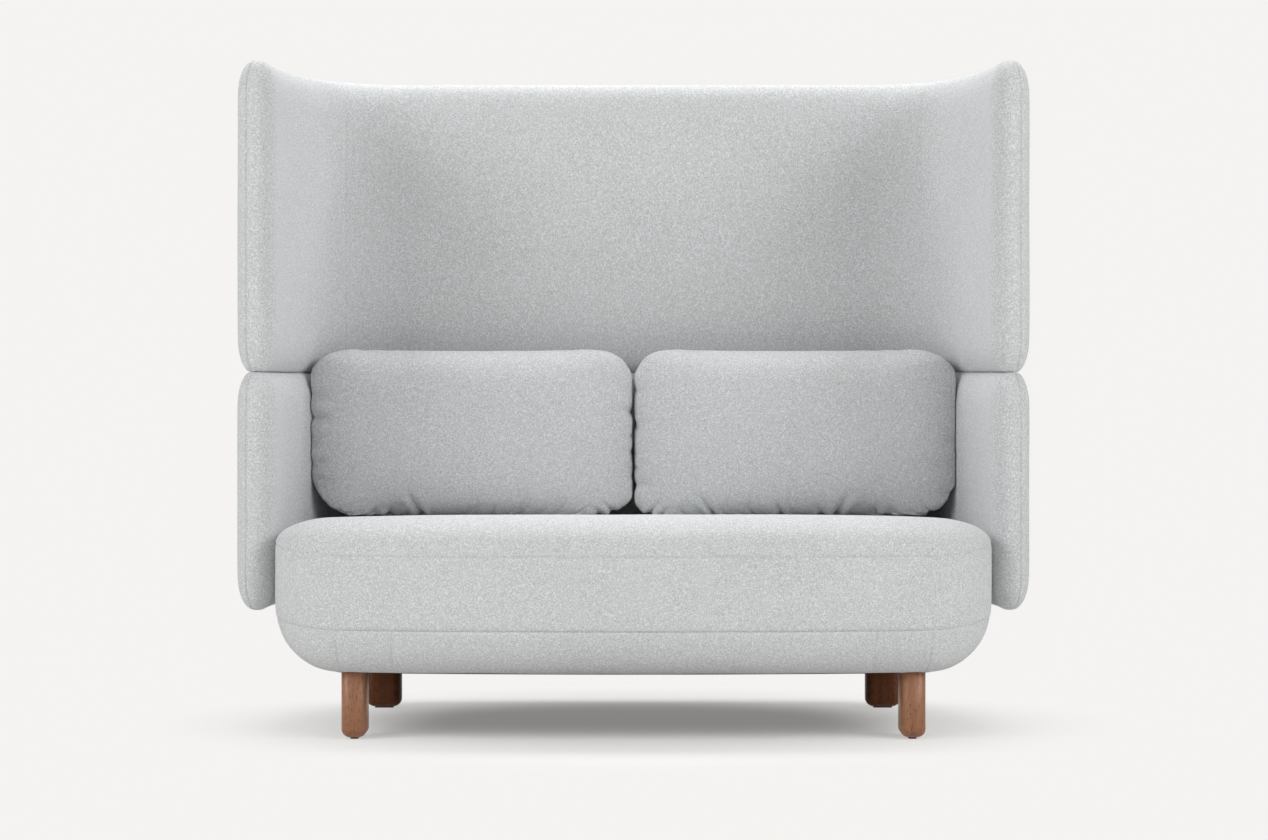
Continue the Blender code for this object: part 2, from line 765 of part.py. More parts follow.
def rail_half(name, front, stems):
    """Bent plywood rail round the front or the back half of the seat, ending at the sides."""
    right = seat_stations()
    split = CORNER_STEPS + WING_STEPS
    stations = right[split:] if front else right[: split + 1]
    stations = stations + mirrored(stations) if front else mirrored(stations) + stations
    trim = Vector((0, -GAP / 2 if front else GAP / 2, 0))
    bm = bmesh.new()
    rings = []
    for inset in (RAIL_INSET, RAIL_INSET + RAIL_THICKNESS):
        row = [(point - normal * inset).to_3d() for point, normal in stations]
        row[0] = row[0] + trim
        row[-1] = row[-1] + trim
        for z in (RAIL_BOTTOM_Z, RAIL_TOP_Z):
            rings.append(add_ring(bm, [point + Vector((0, 0, z)) for point in row]))
    order = [rings[0], rings[1], rings[3], rings[2], rings[0]]
    skin(bm, order, False)
    for end in (0, -1):
        bm.faces.new([ring[end] for ring in order[:4]])
    rail = piece(name, bm, "plywood")
    boolean(rail, stems)


def seat_frame(stems, bolt_holes):
    """Rails, beams and straps inside the seat."""
    rail_half("seat_front_rail", True, stems)
    rail_half("seat_rear_rail", False, stems)
    inside = cutter("rail_inside", prism(RAIL_INSET + RAIL_THICKNESS + GAP, 0.0, RAIL_TOP_Z + CUT_REACH))
    for side, name in ((-1, "left"), (1, "right")):
        bearer = piece("leg_bearer_" + name, bearer_box(side, 0.0), "frame_wood")
        boolean(bearer, [inside], "INTERSECT")
        boolean(bearer, bolt_holes)
    half = MIDDLE_RAIL_WIDTH / 2
    middle = box((-half, FRONT_Y, RAIL_BOTTOM_Z), (half, BACK_Y, RAIL_TOP_Z - GAP))
    boolean(piece("middle_rail", middle, "frame_wood"), [inside], "INTERSECT")
    rail_line = cutter("strap_ends", prism(RAIL_INSET, RAIL_TOP_Z - CUT_REACH, RAIL_TOP_Z + CUT_REACH))
    for i in range(2 * STRAP_PAIRS):
        middle_x = STRAP_PITCH * (i - STRAP_PAIRS + 0.5)
        low = (middle_x - STRAP_WIDTH / 2, FRONT_Y, RAIL_TOP_Z + GAP)
        high = (middle_x + STRAP_WIDTH / 2, BACK_Y, STRAP_TOP_Z)
        strap = piece(f"webbing_strap_{i + 1}", box(low, high), "webbing")
        boolean(strap, [rail_line], "INTERSECT")


def leg_places():
    """Each leg's name, middle point and size in plan; the section turns between front and rear."""
    places = []
    for side, side_name in ((-1, "left"), (1, "right")):
        front_x = side * (LEG_OUTER_X - LEG_NARROW / 2)
        rear_x = side * (LEG_OUTER_X - LEG_WIDE / 2)
        places.append(("front_" + side_name, front_x, FRONT_LEG_Y, LEG_NARROW, LEG_WIDE))
        places.append(("rear_" + side_name, rear_x, REAR_LEG_Y, LEG_WIDE, LEG_NARROW))
    return places


def leg_form(x, y, width, depth, low_z, high_z, edge_radius):
    """Upright block with rounded long edges."""
    bm = box((x - width / 2, y - depth / 2, low_z), (x + width / 2, y + depth / 2, high_z))
    upright = [edge for edge in bm.edges if abs(edge.verts[0].co.z - edge.verts[1].co.z) > GAP]
    bmesh.ops.bevel(bm, geom=upright, offset=edge_radius, segments=4, profile=0.5, affect="EDGES")
    return bm


def build_legs():
    """Wooden legs with their bolts and glides; returns the holes that they need above."""
    leg_holes, bolt_holes = [], []
    foot_z = GLIDE_HEIGHT + GAP
    for name, x, y, width, depth in leg_places():
        leg = leg_form(x, y, width, depth, foot_z, LEG_TOP_Z, LEG_EDGE_RADIUS)
        foot = [edge for edge in leg.edges if max(vert.co.z for vert in edge.verts) < foot_z + GAP]
        bmesh.ops.bevel(leg, geom=foot, offset=LEG_FOOT_RADIUS, segments=3, profile=0.5, affect="EDGES")
        leg = piece("leg_" + name, leg, "leg_wood")
        middle = Vector((x, y, LEG_TOP_Z))
        half_bolt = Vector((0, 0, LEG_BOLT_LENGTH / 2))
        piece("leg_bolt_" + name, rod(LEG_BOLT_RADIUS, middle - half_bolt, middle + half_bolt, 10), "steel")
        room = Vector((0, 0, GAP))
        hole = rod(LEG_BOLT_RADIUS + GAP, middle - half_bolt - room, middle + half_bolt + room, 10)
        hole = cutter("leg_bolt_hole_" + name, hole)
        boolean(leg, [hole])
        bolt_holes.append(hole)
        size = (width + 2 * GAP, depth + 2 * GAP)
        opening = leg_form(x, y, *size, 0.0, LEG_TOP_Z + GAP / 2, LEG_EDGE_RADIUS)
        leg_holes.append(cutter("leg_opening_" + name, opening))
        glide_size = (width - 2 * GLIDE_MARGIN, depth - 2 * GLIDE_MARGIN)
        piece("glide_" + name, leg_form(x, y, *glide_size, 0.0, GLIDE_HEIGHT, GLIDE_HEIGHT), "felt")
    return leg_holes, bolt_holes


def power(value, exponent):
    """Signed power, for rounded-off outlines."""
    return math.copysign(abs(value) ** exponent, value)


def cushion_centre(side):
    """Middle of a loose cushion, set back against the wall."""
    middle_x = (CUSHION_OUTER_X + CUSHION_GAP / 2) / 2
    half = CUSHION_OUTER_X - middle_x + CUSHION_SIDE_PULL
    wall_y = BACK_Y - HALF_PANEL - SEAT_CLEARANCE
    y = wall_y - CUSHION_THICKNESS / 2
    low_z = crown_z(y) + GAP
    return Vector((side * middle_x, y, (CUSHION_TOP_Z + low_z) / 2)), half


def cushion_form(side):
    """Plump cushion: crowned faces, drawn-in sides, flat where it stands and along its zip."""
    centre, half_x = cushion_centre(side)
    half_z = CUSHION_TOP_Z - centre.z + CUSHION_EDGE_PULL
    half_y = CUSHION_THICKNESS / 2
    bm = bmesh.new()
    bmesh.ops.create_uvsphere(bm, u_segments=CUSHION_COLUMNS, v_segments=CUSHION_RINGS, radius=1.0)
    slope = 2 / CUSHION_CORNER_POWER
    zip_point, _, zip_out = zip_frame(side)
    for vert in bm.verts:
        across = math.hypot(vert.co.x, vert.co.y)
        swell = power(vert.co.z, CUSHION_SWELL)
        reach = across**CUSHION_REACH
        angle = math.atan2(vert.co.y, vert.co.x)
        x = power(math.cos(angle), slope) * reach
        z = power(math.sin(angle), slope) * reach
        curl = max(side * x - CUSHION_CURL_START, 0.0) / (1 - CUSHION_CURL_START)
        place = Vector((x * (half_x - CUSHION_SIDE_PULL * (1 - z * z)), 0, 0))
        place.z = z * (half_z - CUSHION_EDGE_PULL * (1 - x * x))
        place.y = -half_y * swell - CUSHION_CURL * curl * curl
        vert.co = centre + place
        beyond = (vert.co - zip_point).dot(zip_out)
        if beyond > 0:
            vert.co -= zip_out * beyond
        vert.co.z = max(vert.co.z, crown_z(vert.co.y) + GAP)
    return bm


def zip_frame(side):
    """A point on the zip's line, its direction, and the way out of the cushion there."""
    centre, _ = cushion_centre(side)
    out = Vector((0, 1, -1)).normalized()
    y = CUSHION_THICKNESS / 2 * math.cos(PLACKET_ANGLE) ** CUSHION_SWELL
    z = (CUSHION_TOP_Z - centre.z) * math.sin(PLACKET_ANGLE) ** CUSHION_REACH
    return centre + Vector((0, y, -z)) - out * PLACKET_CUT, Vector((1, 0, 0)), out


def zip_box(side, along, width, inner, outer, shift=0.0):
    """Box lying along the zip, between two depths measured out of the cushion."""
    point, direction, out = zip_frame(side)
    cross = out.cross(direction)
    bm = bmesh.new()
    turn = Matrix((direction, cross, out)).transposed().to_4x4()
    middle = point + out * (inner + outer) / 2 + direction * shift
    bmesh.ops.create_cube(bm, size=1.0)
    bmesh.ops.scale(bm, vec=(along, width, outer - inner), verts=bm.verts)
    bmesh.ops.transform(bm, matrix=Matrix.Translation(middle) @ turn, verts=bm.verts)
    return bm


def build_cushion(side, name):
    """Loose back cushion: a filling in a cover with a zip along its lower back edge."""
    cover = piece(name + "_cushion_cover", cushion_form(side), "fabric")
    solidify(cover)
    slot = zip_box(side, ZIP_LENGTH + 2 * GAP, ZIP_WIDTH + 2 * GAP, -COVER - GAP / 2, CUT_REACH)
    boolean(cover, [cutter(name + "_zip_slot", slot)])
    filling = cushion_form(side)
    shrink(filling, FOAM_DEPTH)
    piece(name + "_cushion_filling", filling, "foam")
    tape = zip_box(side, ZIP_LENGTH, ZIP_WIDTH, -COVER, -COVER + ZIP_TAPE)
    chain = piece(name + "_zip_chain", tape, "zip_tape")
    coil_top = -COVER + ZIP_TAPE + ZIP_COIL
    coil_box = zip_box(side, ZIP_LENGTH - SLIDER_LENGTH / 2, ZIP_COIL_WIDTH, -COVER + ZIP_TAPE / 2, coil_top)
    boolean(chain, [cutter(name + "_zip_coil", coil_box)], "UNION")
    start = -(ZIP_LENGTH / 2 - SLIDER_LENGTH)
    low = GAP
    slider = zip_box(side, SLIDER_LENGTH, SLIDER_WIDTH, low, low + SLIDER_HEIGHT, start)
    slider = piece(name + "_zip_slider", slider, "steel")
    groove = zip_box(side, 2 * SLIDER_LENGTH, ZIP_COIL_WIDTH + 2 * GAP, -COVER, coil_top + GAP, start)
    boolean(slider, [cutter(name + "_slider_groove", groove)])
    pull_low = low + SLIDER_HEIGHT / 2
    pull_shift = start + (SLIDER_LENGTH + PULL_LENGTH) / 2 - SLIDER_LENGTH / 4
    pull = zip_box(side, PULL_LENGTH, PULL_WIDTH, pull_low, pull_low + SLIDER_HEIGHT / 4, pull_shift)
    boolean(slider, [cutter(name + "_zip_pull", pull)], "UNION")


def shade_smooth():
    """Smooth shading with sharp edges kept, on every piece."""
    for thing in bpy.data.collections["sofa"].objects:
        thing.data.shade_smooth()
        thing.data.set_sharp_from_angle(angle=math.radians(35))


def main():
    for thing in list(bpy.data.objects):
        bpy.data.objects.remove(thing)
    for name in ("sofa", "cutters"):
        collection = bpy.data.collections.new(name)
        bpy.context.scene.collection.children.link(collection)
    stems, shoulders = build_wall()
    leg_holes, bolt_holes = build_legs()
    seat_frame(stems, bolt_holes)
    seat_foam(leg_holes, shoulders)
    seat_top_cover()
    seat_border_cover(shoulders)
    seat_under_cover(leg_holes)
    dust_cover(leg_holes)
    build_cushion(-1, "left")
    build_cushion(1, "right")
    shade_smooth()


main()
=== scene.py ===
import math

import bmesh
import bpy
from bpy.props import FloatProperty, FloatVectorProperty, IntProperty, PointerProperty
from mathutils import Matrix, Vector, noise


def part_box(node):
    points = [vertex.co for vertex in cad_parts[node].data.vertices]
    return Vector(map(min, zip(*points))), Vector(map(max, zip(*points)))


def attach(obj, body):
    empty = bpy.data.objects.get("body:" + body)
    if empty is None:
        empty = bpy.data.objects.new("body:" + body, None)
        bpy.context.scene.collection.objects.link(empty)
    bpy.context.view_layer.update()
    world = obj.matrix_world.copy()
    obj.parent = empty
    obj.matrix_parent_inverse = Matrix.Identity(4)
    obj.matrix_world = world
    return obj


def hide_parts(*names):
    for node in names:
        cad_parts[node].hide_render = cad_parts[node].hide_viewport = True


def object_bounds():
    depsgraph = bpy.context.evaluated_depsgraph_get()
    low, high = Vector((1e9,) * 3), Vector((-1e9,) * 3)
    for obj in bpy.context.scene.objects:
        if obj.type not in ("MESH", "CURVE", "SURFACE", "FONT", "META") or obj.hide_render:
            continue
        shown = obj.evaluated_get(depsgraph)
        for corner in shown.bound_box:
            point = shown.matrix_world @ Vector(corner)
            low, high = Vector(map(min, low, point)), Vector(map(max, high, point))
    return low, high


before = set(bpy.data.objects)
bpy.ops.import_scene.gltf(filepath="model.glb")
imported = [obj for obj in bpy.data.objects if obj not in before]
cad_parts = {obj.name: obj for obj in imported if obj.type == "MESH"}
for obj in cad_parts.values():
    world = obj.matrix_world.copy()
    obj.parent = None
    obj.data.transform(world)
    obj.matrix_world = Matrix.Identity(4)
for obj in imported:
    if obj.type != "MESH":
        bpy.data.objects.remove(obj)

bl_info = {
    "name": "High-back sofa",
    "version": (1, 0, 0),
    "blender": (4, 5, 0),
    "location": "View3D > Sidebar > Sofa",
    "description": "Dresses the sofa's frame with upholstery, loose cushions, wooden legs and a studio",
    "category": "Object",
}

CAD_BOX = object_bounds()
PHOTO_WIDTH = 1268
GAP = 0.0003

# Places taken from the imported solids
JOINT_Z = (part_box("screen_foam")[0].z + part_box("arm_shell_foam")[1].z) / 2
OUTER_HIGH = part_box("screen_outer_cover")[1]
INNER_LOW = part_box("screen_inner_cover")[0]
UNDER_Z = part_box("seat_under_cover")[0].z
LEG_PLACES = ("front_left", "front_right", "rear_left", "rear_right")
WALL_PLACES = ("back_left", "back_right", "wing_left", "wing_right")


def length_of(label, description, default):
    return FloatProperty(name=label, description=description, default=default, unit="LENGTH")


def colour_of(label, description, default):
    return FloatVectorProperty(name=label, description=description, subtype="COLOR", default=default)


class SofaSizes(bpy.types.PropertyGroup):
    """Sizes of the upholstery that a user may change"""

    panel: length_of("Wall thickness", "Thickness of the padded wall", 0.080)
    nose: length_of("Nose length", "How far the rounded ends reach", 0.045)
    corner: length_of("Corner radius", "Radius of the wall's back corners", 0.215)
    wing_turn: FloatProperty(
        name="Wing turn",
        description="Turn of the wings' long curve",
        default=math.radians(20),
        subtype="ANGLE",
    )
    rim: length_of("Rim height", "Height over which an edge rounds off", 0.080)
    rim_power: FloatProperty(name="Rim fullness", description="Fullness of the rounded edges", default=2.3)
    seam_width: length_of("Seam width", "Half width of a sewn seam's groove", 0.0020)
    seam_depth: length_of("Seam depth", "Depth of a sewn seam's groove", 0.0036)
    seat_height: length_of("Seat height", "Height of the seat's crown", 0.436)
    seat_clearance: length_of("Seat clearance", "Space between seat and wall", 0.006)
    front_corner: length_of("Seat corner", "Radius of the seat's front corners", 0.170)
    cushion_voxel: length_of("Cushion mesh", "Mesh size of the loose cushions", 0.0065)
    cushion_pressure: FloatProperty(
        name="Cushion pressure", description="Pressure that plumps the cushions", default=80.0
    )
    cushion_frames: IntProperty(name="Cushion frames", description="Length of the simulation", default=20)


class SofaColours(bpy.types.PropertyGroup):
    """Colours of the finishes, as linear values"""

    fabric: colour_of("Fabric", "Ground colour of the cloth", (0.515, 0.525, 0.530))
    fabric_fleck: colour_of("Flecks", "Darker fibres in the cloth", (0.285, 0.298, 0.300))
    fabric_bright: colour_of("Bright fibres", "Paler fibres in the cloth", (0.76, 0.77, 0.78))
    leg: colour_of("Legs", "Ground colour of the legs", (0.340, 0.150, 0.072))
    leg_dark: colour_of("Leg grain", "Dark grain of the legs", (0.138, 0.050, 0.023))
    ply: colour_of("Plywood", "Colour of the hidden plywood", (0.62, 0.46, 0.29))
    ply_dark: colour_of("Plywood grain", "Dark grain of the plywood", (0.42, 0.28, 0.16))
    steel: colour_of("Steel", "Colour of the fixings", (0.55, 0.55, 0.56))
    backdrop: colour_of("Backdrop", "Colour of floor and backdrop", (0.905, 0.896, 0.880))


def sizes():
    return bpy.context.scene.sofa_sizes


def colours():
    return bpy.context.scene.sofa_colours


class Plan:
    """Lines of the wall and the seat in plan, worked out from the sizes."""

    def __init__(self):
        s = sizes()
        self.half = s.panel / 2
        self.back_y = OUTER_HIGH.y - self.half
        self.nose_x = OUTER_HIGH.x - self.half
        self.nose_end = INNER_LOW.y + s.nose
        self.front_y = CAD_BOX[0].y
        turn = s.wing_turn
        self.corner_turn = math.pi / 2 - turn
        run = self.back_y - self.nose_end - s.corner * (1 - math.sin(turn))
        self.wing_radius = run / math.sin(turn)
        self.back_half = self.nose_x - s.corner * math.cos(turn) - self.wing_radius * (1 - math.cos(turn))
        self.corner_centre = Vector((self.back_half, self.back_y - s.corner, 0))
        self.wing_centre = Vector((self.nose_x - self.wing_radius, self.nose_end, 0))
        self.inset = self.half + s.seat_clearance


def new_object(name, bm, material, smooth=True):
    """An object of the sofa from a bmesh, at the origin."""
    mesh = bpy.data.meshes.new(name)
    bm.to_mesh(mesh)
    bm.free()
    piece = bpy.data.objects.new(name, mesh)
    bpy.context.scene.collection.objects.link(piece)
    mesh.materials.append(material)
    if smooth:
        mesh.shade_smooth()
    return piece


def sweep(bm, geom, centre=(0, 0, 0), angle=0.0, steps=1, shift=(0, 0, 0)):
    """Carry a wire round an upright axis, or along, and return its last row."""
    step = Vector(shift) / steps
    made = bmesh.ops.spin(
        bm, geom=geom, cent=centre, axis=(0, 0, 1), dvec=step, angle=angle, steps=steps, use_duplicate=False
    )
    return made["geom_last"]


def verts_of(geom):
    return [part for part in geom if isinstance(part, bmesh.types.BMVert)]


def edges_of(geom):
    return [part for part in geom if isinstance(part, bmesh.types.BMEdge)]


def mark_seam(geom, accept=None):
    """Mark the edges between these vertices as sewn."""
    chosen = {vert for vert in verts_of(geom) if accept is None or accept(vert)}
    for vert in chosen:
        for edge in vert.link_edges:
            if edge.other_vert(vert) in chosen:
                edge.seam = True


def rounded(bm, edges, radius, segments, clamped=False):
    """Round off edges; return what the bevel made."""
    return bmesh.ops.bevel(
        bm,
        geom=edges,
        offset=radius,
        affect="EDGES",
        segments=segments,
        profile=0.5,
        material=-1,
        clamp_overlap=clamped,
    )


def pushed(bm, amount):
    """Move every vertex along its normal, by an amount that its place at the start gives."""
    bm.normal_update()
    moves = [(vert, vert.normal * amount(vert)) for vert in bm.verts]
    for vert, move in moves:
        vert.co += move


# How tight seams are drawn and how far their lips rise, as shares of the full depth of a groove
OUTER_PULL = 0.8
INNER_PULL = 0.25
DART_PULL = 0.5
UPPER_PULL = 0.68
LOWER_PULL = 0.85
LIP_SHARE = 0.12
# Depth of the slight unevenness of the covers
RIPPLE = 0.0012


def sew(bm, strength):
    """Sink every marked edge into a narrow groove, as a sewn seam does, deeper where it is drawn tighter."""
    width, depth = sizes().seam_width, sizes().seam_depth
    marked = [edge for edge in bm.edges if edge.seam]
    made = rounded(bm, marked, width, 2, clamped=True)
    faces = set(made["faces"])
    bm.normal_update()
    crease = bm.edges.layers.float.get("crease_edge") or bm.edges.layers.float.new("crease_edge")
    middle = {vert for vert in made["verts"] if faces.issuperset(vert.link_faces)}
    lips = [vert for vert in made["verts"] if vert not in middle]
    for vert in middle:
        vert.co -= vert.normal * depth * strength(vert.co)
        for edge in vert.link_edges:
            if edge.other_vert(vert) in middle:
                edge[crease] = 1.0
    for vert in lips:
        vert.co += vert.normal * depth * strength(vert.co) * LIP_SHARE


def ripple(bm, scale, seed):
    """Slight unevenness of cloth drawn over foam."""
    start = Vector((seed, 2.7 * seed, 0))
    pushed(bm, lambda vert: RIPPLE * noise.noise(vert.co * scale + start))


def close_and_mirror(bm):
    """Weld the right half, mirror it, and turn every face outwards."""
    bmesh.ops.remove_doubles(bm, verts=bm.verts, dist=0.00002)
    bmesh.ops.mirror(bm, geom=bm.verts[:] + bm.edges[:] + bm.faces[:], axis="X", merge_dist=0.00005)
    bmesh.ops.remove_doubles(bm, verts=bm.verts, dist=0.00002)
    bmesh.ops.recalc_face_normals(bm, faces=bm.faces)


def subdivision(piece, levels=1):
    modifier = piece.modifiers.new("smooth", "SUBSURF")
    modifier.levels = levels
    modifier.render_levels = levels


def rounded_edge(flat, half, steps):
    """Edge of the wall as (rise, half thickness), from its flat to the full thickness."""
    s = sizes()
    power = 2 / s.rim_power
    first = math.asin((flat / half) ** (1 / power))
    start = 1 - math.cos(first) ** power
    points = []
    for i in range(steps + 1):
        angle = first + (math.pi / 2 - first) * i / steps
        rise = 1 - max(math.cos(angle), 0.0) ** power
        points.append((s.rim * (rise - start), half * math.sin(angle) ** power))
    return points


# Wall: half widths of the flats at the joint and the crest, rows of its section, and turns to its seams
JOINT_HALF = 0.018
JOINT_STEP = 0.6
CREST_HALF = 0.010
CREST_RISE = 0.0008
WALL_ROWS = 6
FIRST_SEWN_ROW = 2
INNER_SEAM = math.radians(46)
NOSE_SEAM = math.radians(27)


def wall_mesh(joint_z, crest_z, inner_seams):
    """Screen or arm shell: its upright section carried along the back, round the corner and the nose."""
    plan = Plan()
    s = sizes()
    up = 1 if crest_z > joint_z else -1
    low = rounded_edge(JOINT_HALF, plan.half, 7)
    high = rounded_edge(CREST_HALF, plan.half, 8)
    section = [(joint_z, 0.0), (joint_z, JOINT_HALF * JOINT_STEP)]
    section += [(joint_z + up * rise, half) for rise, half in low]
    bottom, top = joint_z + up * low[-1][0], crest_z - up * high[-1][0]
    section += [(bottom + (top - bottom) * i / WALL_ROWS, plan.half) for i in range(1, WALL_ROWS)]
    section += [(crest_z - up * rise, half) for rise, half in reversed(high)]
    crest_row = len(section) - 1
    section.append((crest_z + up * CREST_RISE, 0.0))

    bm = bmesh.new()
    layer = bm.verts.layers.int.new("row")
    wire = []
    for side in (1, -1):
        order = section if side == 1 else section[::-1][1:-1]
        for z, half in order:
            vert = bm.verts.new((0, plan.back_y + side * half, z))
            vert[layer] = section.index((z, half))
            wire.append(vert)
    edges = [bm.edges.new((first, second)) for first, second in zip(wire, wire[1:] + wire[:1])]

    last = sweep(bm, wire + edges, shift=(plan.back_half, 0, 0), steps=10)
    seam_turn = min(INNER_SEAM, plan.corner_turn * 0.9)
    last = sweep(bm, last, plan.corner_centre, -seam_turn, 10)
    corner_row = verts_of(last)
    last = sweep(bm, last, plan.corner_centre, seam_turn - plan.corner_turn, 5)
    last = sweep(bm, last, plan.wing_centre, -s.wing_turn, 8)
    outer = [vert for vert in verts_of(last) if vert.co.x > plan.nose_x - GAP]
    outer_edges = [edge for edge in edges_of(last) if all(vert in outer for vert in edge.verts)]
    nose_centre = (plan.nose_x, plan.nose_end, 0)
    last = sweep(bm, outer + outer_edges, nose_centre, NOSE_SEAM - math.pi / 2, 6)
    nose_row = verts_of(last)
    sweep(bm, last, nose_centre, -NOSE_SEAM - math.pi / 2, 10)
    mark_seam(nose_row, lambda vert: FIRST_SEWN_ROW <= vert[layer] <= crest_row)
    if inner_seams:
        limit = s.corner - plan.half * 0.2
        mark_seam(corner_row, lambda vert: (vert.co.xy - plan.corner_centre.xy).length < limit)
    for vert in bm.verts:
        if vert.co.y < plan.nose_end:
            vert.co.y = plan.nose_end + (vert.co.y - plan.nose_end) * s.nose / plan.half
    close_and_mirror(bm)
    crest = [vert for vert in bm.verts if vert[layer] == crest_row]
    mark_seam(crest, lambda vert: outside(vert.co, plan))
    sew(bm, lambda co: OUTER_PULL if co.y < plan.nose_end or outside(co, plan) else INNER_PULL)
    return bm


def outside(point, plan):
    """True on the wall's outer half, with the noses' outer quarter."""
    x, y = abs(point.x), point.y
    if y < plan.nose_end:
        return x - plan.nose_x > math.tan(NOSE_SEAM) * (plan.nose_end - y) * 0.6
    if x < plan.back_half:
        return y > plan.back_y
    place = Vector((x, y))
    if (place - plan.corner_centre.xy).angle(Vector((0, 1))) < plan.corner_turn:
        return (place - plan.corner_centre.xy).length > sizes().corner
    return (place - plan.wing_centre.xy).length > plan.wing_radius


# Seat: bow of the front, shares of its roundings, slope and crest, rings, and seams (front height, side rise)
FRONT_BOW = 5.0
BASE_CORNER = 0.005
FRONT_SHARE = 0.67
BASE_FRONT_SHARE = 0.45
BASE_POWER = 2.4
REAR_SHARE = 0.35
SEAT_RAKE = math.tan(math.radians(3.3))
SEAT_CREST_Y = -0.200
TOP_ROUND = 0.130
TOP_ROUND_Z = 0.375
TOP_DOME = 0.006
BASE_HEIGHT = 0.140
BASE_STEPS = 8
BASE_SPREAD = 0.62
BORDER_SHARES = (0.0, 0.12, 0.35, 0.6, 0.85, 1.0)
CROWN_SHARES = (0.9, 0.78, 0.64, 0.5, 0.36, 0.22, 0.1)
FLOOR_SHARES = (0.94, 0.7, 0.4, 0.15)
UPPER_SEAM = (0.3615, 0.017)
LOWER_SEAM = (0.2175, 0.016)
DARTS = (0.4725, 0.575)
DARTS_BELOW = LOWER_SEAM[0] - 0.006
UPPER_ABOVE = TOP_ROUND_Z - 0.03


def crown_z(y):
    return sizes().seat_height - SEAT_RAKE * (y - SEAT_CREST_Y)


def round_share(normal, front):
    """How much of the side's rounding the seat has in this direction."""
    share = REAR_SHARE if normal.y > 0 else front
    return 1 - (1 - share) * abs(normal.y)


def seat_wire(bm):
    """Plan of the seat as a closed wire, with each vertex's outward direction."""
    plan = Plan()
    s = sizes()
    seat_half = plan.nose_x - plan.inset
    start = bm.verts.new((0, plan.back_y - plan.inset, 0))
    last = sweep(bm, [start], shift=(plan.back_half, 0, 0), steps=14)
    last = sweep(bm, last, plan.corner_centre, -plan.corner_turn, 12)
    last = sweep(bm, last, plan.wing_centre, -s.wing_turn, 8)
    run = FRONT_BOW - s.front_corner
    bow = math.asin((seat_half - s.front_corner) / run)
    bow_centre = Vector((0, plan.front_y + FRONT_BOW, 0))
    corner = bow_centre + Vector((math.sin(bow), -math.cos(bow), 0)) * run
    last = sweep(bm, last, shift=(0, corner.y - plan.nose_end, 0), steps=3)
    last = sweep(bm, last, corner, bow - math.pi / 2, 14)
    sweep(bm, last, bow_centre, -bow, 18)
    bmesh.ops.mirror(bm, geom=bm.verts[:] + bm.edges[:], axis="X", merge_dist=0.0001)
    bmesh.ops.remove_doubles(bm, verts=bm.verts, dist=0.0001)
    directions = {}
    middle = Vector((0, 0.02, 0))
    for vert in bm.verts:
        ends = [edge.other_vert(vert).co for edge in vert.link_edges]
        along = (ends[0] - ends[1]).normalized()
        normal = Vector((along.y, -along.x, 0))
        directions[vert] = normal if normal.dot(vert.co - middle) > 0 else -normal
    return directions


def seam_z(normal, seam):
    front, rise = seam
    return front + rise * (1 - max(-normal.y, 0.0) ** 2)


def border_z(normal, share):
    """Height on the border, from its lower seam to its upper one."""
    lower, upper = seam_z(normal, LOWER_SEAM), seam_z(normal, UPPER_SEAM)
    return lower + (upper - lower) * share


def base_inset(normal, z):
    base_round = sizes().front_corner - BASE_CORNER
    share = max(UNDER_Z + BASE_HEIGHT - z, 0.0) / BASE_HEIGHT
    drawn = 1 - max(1 - share**BASE_POWER, 0.0) ** (1 / BASE_POWER)
    return base_round * round_share(normal, BASE_FRONT_SHARE) * drawn


def seat_rings():
    """Rules for the seat's rings, from the underside to the crown: each gives (inset, height)."""
    rings = []

    def at_height(height):
        def rule(point, normal):
            z = height(normal)
            return base_inset(normal, z), z

        rings.append(rule)

    for i in range(BASE_STEPS):
        angle = math.pi / 2 * (1 - i / BASE_STEPS)
        lift = BASE_HEIGHT * (1 - math.sin(angle)) * BASE_SPREAD
        at_height(lambda normal, lift=lift: UNDER_Z + lift)
    for share in BORDER_SHARES:
        at_height(lambda normal, share=share: border_z(normal, share))
    for i in range(1, BASE_STEPS + 1):
        angle = math.pi / 2 * i / BASE_STEPS
        rings.append(lambda point, normal, angle=angle: top_ring(point, normal, angle))
    return rings


def top_ring(point, normal, angle):
    """Inset and height on the rounded upper edge."""
    inset = TOP_ROUND * round_share(normal, FRONT_SHARE) * (1 - math.cos(angle))
    dome = TOP_DOME * (1 - max(normal.y, 0.0))
    foot = max(TOP_ROUND_Z, seam_z(normal, UPPER_SEAM) + 0.002)
    rise = crown_z(point.y - normal.y * inset) - dome - foot
    return inset, foot + rise * math.sin(angle)


def next_ring(bm, edges, ring):
    """Extrude a ring of edges; return the new edges, and the new vertices under the ring's keys."""
    made = bmesh.ops.extrude_edge_only(bm, edges=edges)["geom"]
    fresh = set(verts_of(made))
    edges = [edge for edge in edges_of(made) if fresh.issuperset(edge.verts)]
    moved = {}
    for key, old in ring.items():
        moved[key] = next(edge.other_vert(old) for edge in old.link_edges if edge.other_vert(old) in fresh)
    return edges, moved


